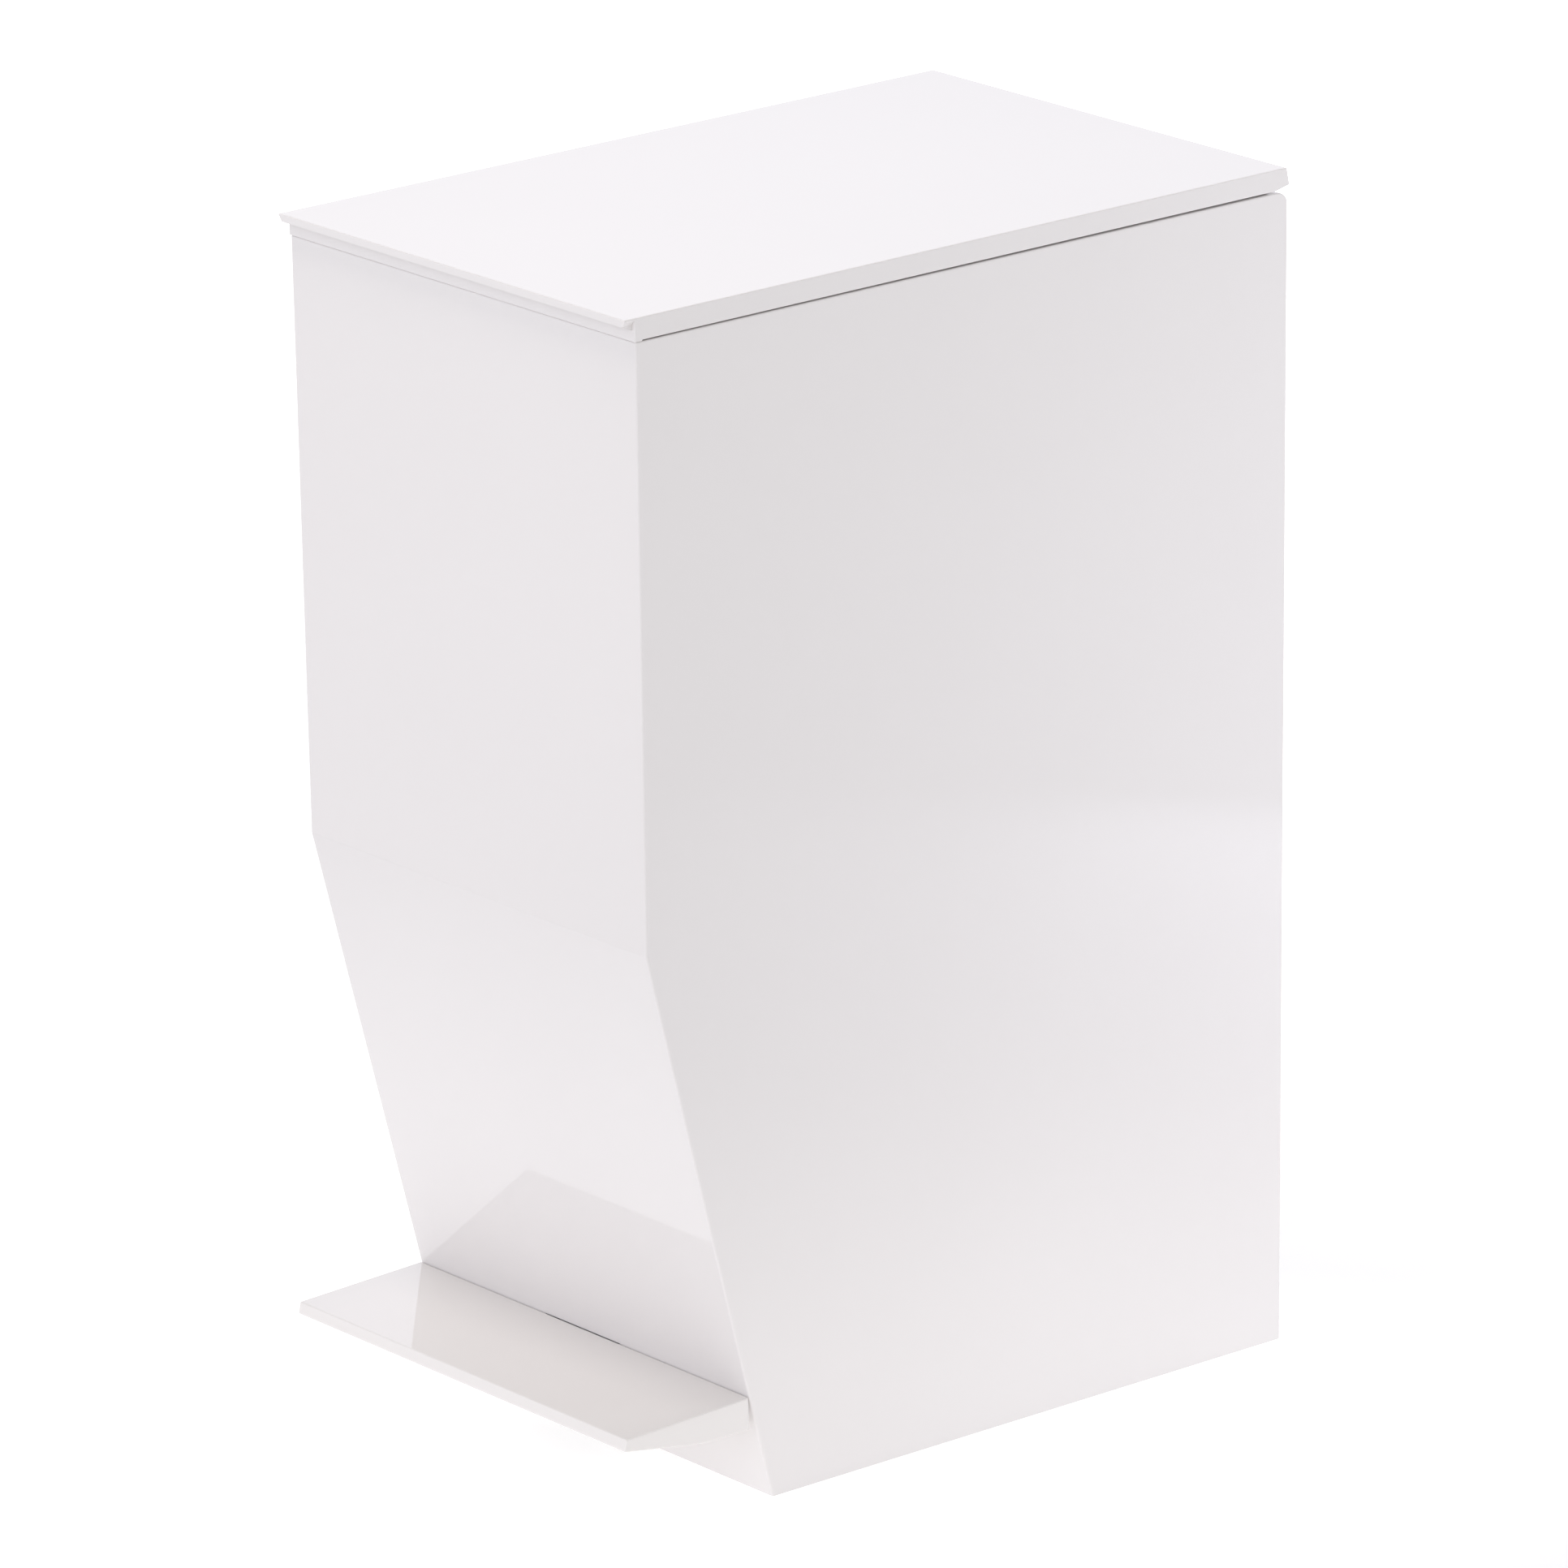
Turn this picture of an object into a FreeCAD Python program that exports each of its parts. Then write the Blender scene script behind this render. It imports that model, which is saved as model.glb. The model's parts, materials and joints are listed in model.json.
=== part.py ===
import FreeCAD, Part

# Slim rectangular pedal bin: a moulded shell with a slanted lower front, a flat lid on a
# hinge pin at the back, and a full-width pedal whose see-saw lever lifts a rod that
# turns the lid by a cam. A removable bucket stands on a false floor over the lever.
#
# Millimetres. +X right, +Y to the back, +Z up. The origin is on the floor, under the
# middle of the whole bin, pedal included.

import math
import os

import Sketcher

App = FreeCAD
doc = App.newDocument("pedal_bin")
sheet = doc.addObject("Spreadsheet::Sheet", "dim")

SIZES = [
    # shell
    ("top_half", 81.8, "half the shell's width at the rim"),
    ("floor_half", 79.5, "half the shell's width at its lower edge"),
    ("foot_gap", 0.6, "height of the shell's lower edge above the floor"),
    ("rim_z", 365.8, "height of the rim"),
    ("front_y", -119.6, "upright upper front"),
    ("bend_z", 180.1, "height of the bend in the front"),
    ("toe_y", -75.0, "foot of the slanted front"),
    ("rear_y", 130.4, "back of the shell at the rim"),
    ("heel_y", 127.3, "back of the shell at its lower edge"),
    ("wall", 2.5, "shell wall"),
    ("edge_round", 0.8, "rounding of the shell's outer edges"),
    ("bend_round", 2.5, "rounding of the bend"),
    ("back_round", 4.2, "rounding of the rim at the back, round the hinge pin"),
    # hinge
    ("hinge_y", 126.1, "hinge axis"),
    ("hinge_z", 361.6, "hinge axis"),
    ("pin_radius", 2.0, "hinge pin, lift rod"),
    ("running_gap", 0.05, "radial clearance of a running fit"),
    ("rail_front_y", 121.8, "front of the rail that holds the pin"),
    ("rail_low_z", 355.0, "underside of the rail"),
    ("knuckle_in", 34.0, "inner end of a lid knuckle"),
    ("knuckle_out", 58.0, "outer end of a lid knuckle"),
    ("notch_gap", 0.6, "side clearance of knuckle and cam in their notches"),
    ("notch_low_z", 356.6, "bottom of the notches"),
    ("cam_half", 4.0, "half the cam lever's thickness"),
    # lid
    ("lid_half", 82.0, "half the lid's width"),
    ("lid_top_z", 373.1, "top of the lid"),
    ("skirt_low_z", 366.3, "lower edge of the lid's sides"),
    ("skirt_front_z", 366.0, "lower edge of the lid's front"),
    ("skirt_front_y", -119.9, "front of the lid's skirt"),
    ("lip_low_z", 370.8, "foot of the lip's front"),
    ("lip_root_z", 369.3, "where the lip's sloping underside meets the skirt"),
    ("lip_front_y", -123.6, "front of the lip at the top"),
    ("lip_lean", 0.1, "how far the lip's front leans back at its foot"),
    ("lid_rear_y", 130.7, "back of the lid at its widest"),
    ("lid_rear_top_y", 129.7, "back of the lid at the top"),
    ("lid_heel_y", 125.1, "front of the bevel under the lid's back"),
    ("lid_heel_z", 366.55, "lower edge of that bevel"),
    ("lid_rear_z", 367.8, "upper edge of that bevel"),
    ("lid_skin", 2.2, "thickness of the lid's top"),
    ("lid_round", 0.3, "rounding of the lid's top edges"),
    ("frame_low_z", 366.2, "underside of the inner lid panel"),
    ("frame_skin", 2.2, "thickness of the inner lid panel"),
    ("frame_half", 77.0, "half the inner lid panel's width"),
    # pedal
    ("pedal_half", 79.6, "half the pedal's width"),
    ("tread_front_y", -129.9, "front edge of the tread"),
    ("tread_front_z", 32.5, "front edge of the tread"),
    ("tread_rear_y", -83.65, "back edge of the tread"),
    ("tread_rear_z", 34.1, "back edge of the tread"),
    ("nose_y", -130.78, "foot of the pedal's front face"),
    ("nose_z", 28.8, "foot of the pedal's front face"),
    ("pedal_low_y", -101.5, "where the pedal's underside starts to rise"),
    ("pedal_low_z", 24.0, "lower edge of the pedal's sides"),
    ("pedal_heel_y", -83.4, "back edge of the pedal's sides"),
    ("pedal_skin", 2.4, "thickness of the tread and sides"),
    ("slot_half", 18.0, "half the width of the slot in the slanted front"),
    ("slot_low_z", 12.0, "bottom of the slot"),
    ("slot_top_z", 34.2, "top of the slot"),
    # lever
    ("pivot_y", 4.03, "pedal axle"),
    ("pivot_z", 25.0, "pedal axle"),
    ("axle_radius", 3.0, "pedal axle"),
    ("hook_arm", 111.1, "from the axle to the rod's hook"),
    ("pedal_swing", 8.0, "pedal travel in degrees"),
    ("arm_half", 16.5, "half the lever's width at the pedal"),
    ("tail_half", 4.0, "half the lever's width at the rod"),
    ("hook_gap", 0.5, "radial clearance of the hook in the lever"),
    ("hub_radius", 8.0, "lever's hub"),
    ("bush_radius", 4.5, "outside of the bushes"),
    # lift rod
    ("rod_x", 10.0, "upright of the lift rod"),
    ("rod_y", 115.0, "upright of the lift rod"),
    ("rod_bend", 5.0, "bend radius of the rod's centre line"),
    ("shoe_radius", 4.0, "cam shoe"),
    ("cam_low", 17.36, "cam contact below the hinge axis when the lid is shut"),
    ("lid_swing", 80.0, "lid travel in degrees"),
    ("cam_gap", 0.3, "clearance between cam and shoe"),
    # base and false floor
    ("base_low_z", 2.0, "underside of the base plate"),
    ("base_top_z", 5.0, "top of the base plate"),
    ("base_half", 76.4, "half the base plate's width"),
    ("deck_low_z", 46.0, "underside of the false floor"),
    ("deck_top_z", 48.5, "top of the false floor"),
    ("deck_half", 76.6, "half the false floor's width"),
    # bucket
    ("bucket_low_z", 48.6, "underside of the bucket"),
    ("bucket_top_z", 352.0, "rim of the bucket"),
    ("bucket_half", 73.0, "half the bucket's width under its rim"),
    ("bucket_foot_half", 69.5, "half the bucket's width at its bottom"),
    ("bucket_front_y", -109.0, "front of the bucket under its rim"),
    ("bucket_rear_y", 98.5, "back of the bucket under its rim"),
    ("bucket_skin", 1.8, "bucket wall"),
    ("bucket_corner", 14.0, "rounding of the bucket's upright edges"),
    ("bucket_rim", 3.0, "how far the bucket's rim stands out"),
]

for row, (alias, number, meaning) in enumerate(SIZES, start=1):
    sheet.set(f"A{row}", meaning)
    sheet.set(f"B{row}", str(number))
    sheet.setAlias(f"B{row}", alias)
doc.recompute()


def value(text):
    """The number that an expression over the sheet gives."""
    return float(sheet.evalExpression(str(text)))


def dims(*names):
    """Sheet values by alias."""
    return [value(f"dim.{name}") for name in names]


# ---------------------------------------------------------------- building helpers


def new_body(label):
    body = doc.addObject("PartDesign::Body", label)
    body.Label = label
    return body


def origin_plane(body, role):
    return next(f for f in body.Origin.OriginFeatures if f.Role == role)


def pin_point(sketch, edge, end, spot):
    """Ties one end of an edge to a spot given as two expressions from the sketch's origin."""
    for kind, text in zip(("DistanceX", "DistanceY"), spot):
        rule = Sketcher.Constraint(kind, -1, 1, edge, end, value(text))
        number = sketch.addConstraint(rule)
        sketch.setExpression(f"Constraints[{number}]", str(text))


def arc_about(centre, start, end):
    """The anticlockwise arc about a centre from one point to another."""
    spoke = start - centre
    circle = Part.Circle(centre, App.Vector(0, 0, 1), spoke.Length)
    angles = [math.atan2(point.y - centre.y, point.x - centre.x) for point in (start, end)]
    return Part.ArcOfCircle(circle, angles[0], angles[1])


def outline(body, name, role, *loops):
    """A sketch of closed loops, each a list of (across, up) expressions.

    A point with a third item, itself an (across, up) pair, starts an anticlockwise arc
    about that centre. Every other point starts a straight edge.
    """
    sketch = body.newObject("Sketcher::SketchObject", name)
    sketch.AttachmentSupport = (origin_plane(body, role), [""])
    sketch.MapMode = "FlatFace"
    for loop in loops:
        first = sketch.GeometryCount
        spots = [App.Vector(value(point[0]), value(point[1]), 0) for point in loop]
        count = len(spots)
        for n, point in enumerate(loop):
            after = spots[(n + 1) % count]
            if len(point) > 2:
                centre = App.Vector(value(point[2][0]), value(point[2][1]), 0)
                sketch.addGeometry(arc_about(centre, spots[n], after))
            else:
                sketch.addGeometry(Part.LineSegment(spots[n], after))
        for n, point in enumerate(loop):
            after = first + (n + 1) % count
            sketch.addConstraint(Sketcher.Constraint("Coincident", first + n, 2, after, 1))
            pin_point(sketch, first + n, 1, point[:2])
            if len(point) > 2:
                # its ends fix an arc but for one number
                pin_point(sketch, first + n, 3, point[2][:1])
    return sketch


def pad(body, sketch, length):
    """Pads a sketch both ways from its plane."""
    feature = body.newObject("PartDesign::Pad", sketch.Name + "_pad")
    feature.Profile = sketch
    feature.SideType = "Symmetric"
    feature.setExpression("Length", length)
    return feature


def pocket(body, sketch, length):
    """Cuts a sketch both ways from its plane."""
    feature = body.newObject("PartDesign::Pocket", sketch.Name + "_pocket")
    feature.Profile = sketch
    feature.SideType = "Symmetric"
    feature.setExpression("Length", length)
    return feature


def place(feature, spot, turn=None):
    """Puts a primitive at a spot of three expressions, turned first if asked."""
    if turn is not None:
        feature.Placement = App.Placement(App.Vector(), turn)
    for letter, text in zip("xyz", spot):
        feature.setExpression(f"Placement.Base.{letter}", str(text))


def block(body, name, low, high, cut=False):
    """Adds or cuts a box between two corners, each three expressions."""
    kind = "PartDesign::SubtractiveBox" if cut else "PartDesign::AdditiveBox"
    box = body.newObject(kind, name)
    for side, one, other in zip(("Length", "Width", "Height"), low, high):
        box.setExpression(side, f"({other}) - ({one})")
    place(box, low)
    return box


TURNS = {
    "X": App.Rotation(App.Vector(0, 1, 0), 90),
    "Y": App.Rotation(App.Vector(1, 0, 0), -90),
    "Z": App.Rotation(),
}


def round_bar(body, name, axis, start, length, radius, cut=False):
    """Adds or cuts a cylinder that runs from start along +X, +Y or +Z."""
    kind = "PartDesign::SubtractiveCylinder" if cut else "PartDesign::AdditiveCylinder"
    bar = body.newObject(kind, name)
    bar.setExpression("Radius", str(radius))
    bar.setExpression("Height", str(length))
    place(bar, start, TURNS[axis])
    return bar


def cut_block(body, name, low, high):
    """Cuts a box between two corners, each three expressions."""
    return block(body, name, low, high, cut=True)


def bore(body, name, axis, start, length, radius):
    """Cuts a round hole that runs from start along +X, +Y or +Z."""
    return round_bar(body, name, axis, start, length, radius, cut=True)


def edges_where(feature, test):
    """Names of the feature's edges that pass a test of (edge, middle point)."""
    found = []
    for number, edge in enumerate(feature.Shape.Edges, start=1):
        middle = edge.valueAt((edge.FirstParameter + edge.LastParameter) / 2)
        if test(edge, middle):
            found.append(f"Edge{number}")
    return found


def soften(body, name, test, radius):
    """Fillets the edges of the body's last feature that pass a test."""
    doc.recompute()
    base = body.Tip
    found = edges_where(base, test)
    if not found:
        raise ValueError(f"{name}: no edge to round")
    fillet = body.newObject("PartDesign::Fillet", name)
    fillet.Base = (base, found)
    fillet.setExpression("Radius", radius)
    return fillet


def hollow(body, name, test, thickness):
    """Turns the body into a wall of the given thickness, open at the faces that pass."""
    doc.recompute()
    base = body.Tip
    faces = base.Shape.Faces
    found = [f"Face{n}" for n, face in enumerate(faces, start=1) if test(face)]
    skin = body.newObject("PartDesign::Thickness", name)
    skin.Base = (base, found)
    skin.Reversed = True
    skin.Join = 1
    skin.setExpression("Value", thickness)
    return skin


def runs_up(edge):
    """Is this a straight edge that rises more than it runs sideways?"""
    ends = [vertex.Point for vertex in edge.Vertexes]
    if len(ends) < 2:
        return False
    span = ends[1] - ends[0]
    return abs(span.z) > abs(span.x) and edge.Length > 1


def part_bar(name, axis, start, length, radius):
    """A Part cylinder along +X, -X, +Y, -Y, +Z or -Z, from expressions."""
    bar = doc.addObject("Part::Cylinder", name)
    bar.setExpression("Radius", str(radius))
    bar.setExpression("Height", str(length))
    turn = TURNS[axis[-1]]
    if axis.startswith("-"):
        turn = turn * App.Rotation(App.Vector(1, 0, 0), 180)
    place(bar, start, turn)
    return bar


def fuse(name, first, second):
    joined = doc.addObject("Part::Fuse", name)
    joined.Base = first
    joined.Tool = second
    return joined


def group(label, pieces):
    """One node of several separate solids."""
    node = doc.addObject("Part::Compound", label)
    node.Label = label
    node.Links = pieces
    return node


def screws(label, into, spots, shank, length, head, head_height):
    """A node of equal screws, each at a spot under its head, pointing into the work."""
    steps = {"X": (1, 0, 0), "Y": (0, 1, 0), "Z": (0, 0, 1)}[into[-1]]
    away = 1 if into.startswith("-") else -1
    made = []
    for number, spot in enumerate(spots, start=1):
        name = f"{label}_{number}"
        body_bar = part_bar(name + "_shank", into, spot, length, shank)
        start = [f"({text}) + {away * step * head_height}" for text, step in zip(spot, steps)]
        head_bar = part_bar(name + "_head", into, start, head_height, head)
        made.append(fuse(name, body_bar, head_bar))
    return group(label, made)


# ---------------------------------------------------------------- derived places

hinge_y, hinge_z, swing, cam_low = dims("hinge_y", "hinge_z", "lid_swing", "cam_low")
CAM_ARM = hinge_y - value("dim.rod_y")
LID_SWING = math.radians(swing)
HALF_SWING = math.radians(value("dim.pedal_swing")) / 2

# The lever's hook hole swings as far above the axle as below it.
hook_arm = value("dim.hook_arm")
HOOK_Y = f"dim.pivot_y + {hook_arm * math.cos(HALF_SWING):.4f}"
HOOK_Z = f"dim.pivot_z - {hook_arm * math.sin(HALF_SWING):.4f}"
SHOE_Z = "dim.hinge_z - dim.cam_low - dim.cam_gap - dim.shoe_radius"


def front_at(height):
    """Expression for the slanted front's outer face at a height below the bend."""
    slope = "(dim.front_y - dim.toe_y) / (dim.bend_z - dim.foot_gap)"
    return f"dim.toe_y + {slope} * ({height} - dim.foot_gap)"


def rear_at(height):
    """Expression for the outer face of the back at a height."""
    slope = "(dim.rear_y - dim.heel_y) / (dim.rim_z - dim.foot_gap)"
    return f"dim.heel_y + {slope} * ({height} - dim.foot_gap)"


def side_at(height):
    """Expression for half the shell's outer width at a height."""
    slope = "(dim.top_half - dim.floor_half) / (dim.rim_z - dim.foot_gap)"
    return f"dim.floor_half + {slope} * ({height} - dim.foot_gap)"


def wedge_sides(body, name, low_z, high_z, low_half, high_half):
    """Trims the sides of a padded profile to a taper seen from the front."""
    outer = [("-120", f"{low_z} - 5"), ("120", f"{low_z} - 5")]
    outer += [("120", f"{high_z} + 5"), ("-120", f"{high_z} + 5")]
    # the taper is carried on past both ends, so that only the sides are cut
    slope = f"(({high_half}) - ({low_half})) / (({high_z}) - ({low_z}))"
    over = f"({high_half}) + {slope} * 4"
    under = f"({low_half}) - {slope} * 4"
    inner = [(f"-({under})", f"{low_z} - 4"), (under, f"{low_z} - 4")]
    inner += [(over, f"{high_z} + 4"), (f"-({over})", f"{high_z} + 4")]
    return pocket(body, outline(body, name, "XZ_Plane", outer, inner), "600")


# ---------------------------------------------------------------- screws

THREAD_RADIUS = 1.25
CLEAR_HOLE = 1.7
HEAD_RADIUS = 2.8
HEAD_HEIGHT = 1.6
HEAD_RECESS = 3.2

# ---------------------------------------------------------------- shell

GUIDE_HEIGHTS = {"lower": 66.0, "upper": 300.0}
GUIDE_HALF_HEIGHT = 7.0
GUIDE_HALF_WIDTH = 15.0
GUIDE_BACK_Y = 119.0
GUIDE_FRONT_Y = 108.5
GUIDE_SCREW_X = -7.0
GUIDE_RECESS = 3.0
COVER_SKIN = 1.5
COVER_TOP_Z = 340.0
COVER_BACK_Y = 121.0
COVER_HEAD_RADIUS = 2.6
COVER_HEAD_HEIGHT = 1.2
BASE_SCREW_X = 71.5
BASE_SCREW_YS = (-45.0, 25.0, 108.0)
BASE_THREAD_RADIUS = 1.5
BOSS_HALF = 5.0
BOSS_HEIGHT = 22.0
BUMPER_X = 75.9
BUMPER_Y = -113.7
BUMPER_RADIUS = 3.2
BUMPER_SEAT_Z = 360.0
BUMPER_SEAT_DEPTH = 14.0
BUMPER_STEM_RADIUS = 1.5
BUMPER_STEM_LENGTH = 6.0
PLUG_RADIUS = 3.2
PLUG_DEPTH = 1.2
PLUG_STEM = 2.5
PIN_END = 78.0


def outer_shell():
    """Moulded shell: tapered walls, slanted lower front, hinge rail, slot and bosses."""
    body = new_body("outer_shell")
    side = outline(
        body,
        "shell_side",
        "YZ_Plane",
        [
            ("dim.toe_y", "dim.foot_gap"),
            ("dim.heel_y", "dim.foot_gap"),
            ("dim.rear_y", "dim.rim_z"),
            ("dim.front_y", "dim.rim_z"),
            ("dim.front_y", "dim.bend_z"),
        ],
    )
    pad(body, side, "2 * dim.top_half + 4")
    wedge_sides(body, "shell_taper", "dim.foot_gap", "dim.rim_z", "dim.floor_half", "dim.top_half")
    hollow(body, "shell_wall", lambda face: abs(face.normalAt(0, 0).z) > 0.9, "dim.wall")
    front_y, bend_z, rim_z = dims("front_y", "bend_z", "rim_z")

    def is_bend(edge, middle):
        return abs(middle.z - bend_z) < 0.1 and abs(middle.y - front_y) < 0.1 and edge.Length > 50

    soften(body, "shell_bend", is_bend, "dim.bend_round")

    def is_corner(edge, middle):
        outside = abs(middle.x) > value(side_at(middle.z)) - 0.5
        front = value(front_at(middle.z)) if middle.z < bend_z else front_y
        at_end = middle.y < front + 0.8 or middle.y > value(rear_at(middle.z)) - 0.5
        return outside and at_end and runs_up(edge)

    soften(body, "shell_corners", is_corner, "dim.edge_round")
    add_hinge_rail(body)
    add_shell_bosses(body)
    arm_slot = ("-dim.slot_half", front_at("dim.slot_low_z") + " - 14", "dim.slot_low_z")
    arm_slot_end = ("dim.slot_half", "dim.toe_y + 8", "dim.slot_top_z")
    cut_block(body, "arm_slot", arm_slot, arm_slot_end)

    def is_rim(edge, middle):
        on_side = abs(middle.x) > value("dim.top_half") - 0.3 and edge.Length > 150
        on_front = middle.y < front_y + 0.1 and edge.Length > 100
        return abs(middle.z - rim_z) < 0.05 and (on_side or on_front)

    soften(body, "shell_rim", is_rim, "dim.edge_round / 2")
    return body


def add_hinge_rail(body):
    """The rail across the back that carries the pin, rounded about it and notched."""
    rail_end = ("dim.top_half - 1", "dim.rear_y - 1", "dim.rim_z")
    block(body, "rail", ("-dim.top_half + 1", "dim.rail_front_y", "dim.rail_low_z"), rail_end)
    round_off = [
        ("dim.hinge_y", "dim.hinge_z + dim.back_round"),
        ("dim.hinge_y", "dim.rim_z + 3"),
        ("dim.rear_y + 3", "dim.rim_z + 3"),
        ("dim.rear_y + 3", "dim.hinge_z"),
        ("dim.hinge_y + dim.back_round", "dim.hinge_z", ("dim.hinge_y", "dim.hinge_z")),
    ]
    pocket(body, outline(body, "rail_corner", "YZ_Plane", round_off), "3 * dim.top_half")
    for number, (one, other) in enumerate((("", "-"), ("-", ""))):
        inner = f"{one}(dim.knuckle_in - dim.notch_gap)"
        outer = f"{one}(dim.knuckle_out + dim.notch_gap)"
        low, high = (inner, outer) if one == "" else (outer, inner)
        notch_start = (low, "dim.rail_front_y - 5", "dim.notch_low_z")
        notch_end = (high, "dim.rear_y + 5", "dim.rim_z + 5")
        cut_block(body, f"knuckle_notch_{number}", notch_start, notch_end)
    cam_side = "dim.cam_half + dim.notch_gap"
    cam_start = (f"-({cam_side})", "dim.rail_front_y - 5", "dim.notch_low_z")
    cut_block(body, "cam_notch", cam_start, (cam_side, "dim.rear_y + 5", "dim.rim_z + 5"))
    relief_start = (f"-({cam_side})", "dim.rail_front_y - 5", "dim.rail_low_z - 2")
    relief_end = (cam_side, rear_at("dim.rail_low_z - 2") + " - dim.wall", "dim.notch_low_z + 1")
    cut_block(body, "cam_relief", relief_start, relief_end)
    pin_start = ("-dim.top_half - 1", "dim.hinge_y", "dim.hinge_z")
    bore(body, "pin_hole", "X", pin_start, f"dim.top_half + 1 + {PIN_END}", "dim.pin_radius")
    bore(body, "plug_seat", "X", pin_start, f"1 + {PLUG_DEPTH}", PLUG_RADIUS)


def add_shell_bosses(body):
    """Pads for the rod guides, bosses for the base's screws and seats for the bumpers."""
    for name, height in GUIDE_HEIGHTS.items():
        low, high = height - GUIDE_HALF_HEIGHT, height + GUIDE_HALF_HEIGHT
        start = (-GUIDE_HALF_WIDTH, GUIDE_BACK_Y, low)
        block(body, f"{name}_pad", start, (GUIDE_HALF_WIDTH, rear_at(low) + " - 1", high))
        hole_start = (GUIDE_SCREW_X, GUIDE_BACK_Y - 1, height)
        bore(body, f"{name}_pad_hole", "Y", hole_start, "6", THREAD_RADIUS)
    for number, y in enumerate(BASE_SCREW_YS):
        for x in (-BASE_SCREW_X, BASE_SCREW_X):
            wall_x = side_at("dim.base_top_z") + " - 1"
            inner = BASE_SCREW_X - BOSS_HALF + 0.5
            low, high = (inner, wall_x) if x > 0 else (f"-({wall_x})", -inner)
            side = "right" if x > 0 else "left"
            boss = f"base_boss_{side}_{number}"
            boss_end = (high, y + BOSS_HALF, f"dim.base_top_z + {BOSS_HEIGHT}")
            block(body, boss, (low, y - BOSS_HALF, "dim.base_top_z"), boss_end)
            hole_start = (x, y, "dim.base_top_z - 1")
            bore(body, boss + "_hole", "Z", hole_start, "15", BASE_THREAD_RADIUS)
    for side in (-1, 1):
        name = "right_bumper_seat" if side > 0 else "left_bumper_seat"
        start = (side * BUMPER_X, BUMPER_Y, BUMPER_SEAT_Z - BUMPER_SEAT_DEPTH)
        round_bar(body, name, "Z", start, BUMPER_SEAT_DEPTH, BUMPER_RADIUS + 0.6)
        hole_start = (side * BUMPER_X, BUMPER_Y, BUMPER_SEAT_Z - BUMPER_STEM_LENGTH)
        hole_length = BUMPER_STEM_LENGTH + 1
        bore(body, name + "_hole", "Z", hole_start, hole_length, BUMPER_STEM_RADIUS)


# ---------------------------------------------------------------- hinge hardware


def hinge_pin():
    start = (f"-dim.top_half + {PLUG_DEPTH + PLUG_STEM}", "dim.hinge_y", "dim.hinge_z")
    length = f"dim.top_half - {PLUG_DEPTH + PLUG_STEM} + {PIN_END}"
    pin = part_bar("hinge_pin", "X", start, length, "dim.pin_radius")
    pin.Label = "hinge_pin"
    return pin


def hinge_pin_plug():
    """Flush cap with a stem, in the pin's hole."""
    face_x = "-(" + side_at("dim.hinge_z") + ")"
    start = (face_x, "dim.hinge_y", "dim.hinge_z")
    depth = f"{PLUG_DEPTH} - dim.top_half - ({face_x})"
    disc = part_bar("plug_disc", "X", start, depth, PLUG_RADIUS)
    stem = part_bar("plug_stem", "X", start, f"{depth} + {PLUG_STEM}", "dim.pin_radius")
    plug = fuse("hinge_pin_plug", disc, stem)
    plug.Label = "hinge_pin_plug"
    return plug


def rim_bumpers():
    """Rubber buffers on the seats inside the front corners, a hair under the lid panel."""
    made = []
    height = f"dim.frame_low_z - 0.1 - {BUMPER_SEAT_Z}"
    for side, x in (("right", BUMPER_X), ("left", -BUMPER_X)):
        seat = (x, BUMPER_Y, BUMPER_SEAT_Z)
        head = part_bar(f"{side}_bumper_head", "Z", seat, height, BUMPER_RADIUS)
        stem_name = f"{side}_bumper_stem"
        stem = part_bar(stem_name, "-Z", seat, BUMPER_STEM_LENGTH, BUMPER_STEM_RADIUS)
        made.append(fuse(f"{side}_bumper", head, stem))
    return group("rim_bumpers", made)


# ---------------------------------------------------------------- lid

LID_SCREW_SPOTS = [(x, y) for x in (-62.0, 62.0) for y in (-100.0, 5.0, 108.0)]
LID_BOSS_RADIUS = 4.0
CAM_SCREW_SPOTS = ((-7.0, 108.6), (7.0, 108.6))
CAM_THREAD_RADIUS = 1.2
CAM_HEAD_RADIUS = 2.6
LID_HEAD_HEIGHT = 1.4
LIP_END_LEAN = 1.4
CAM_FLANGE_HALF = 11.0
CAM_FLANGE_LOW = 2.1
CAM_FLANGE_FRONT = -22.0
CAM_FLANGE_BACK = -6.0


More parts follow.
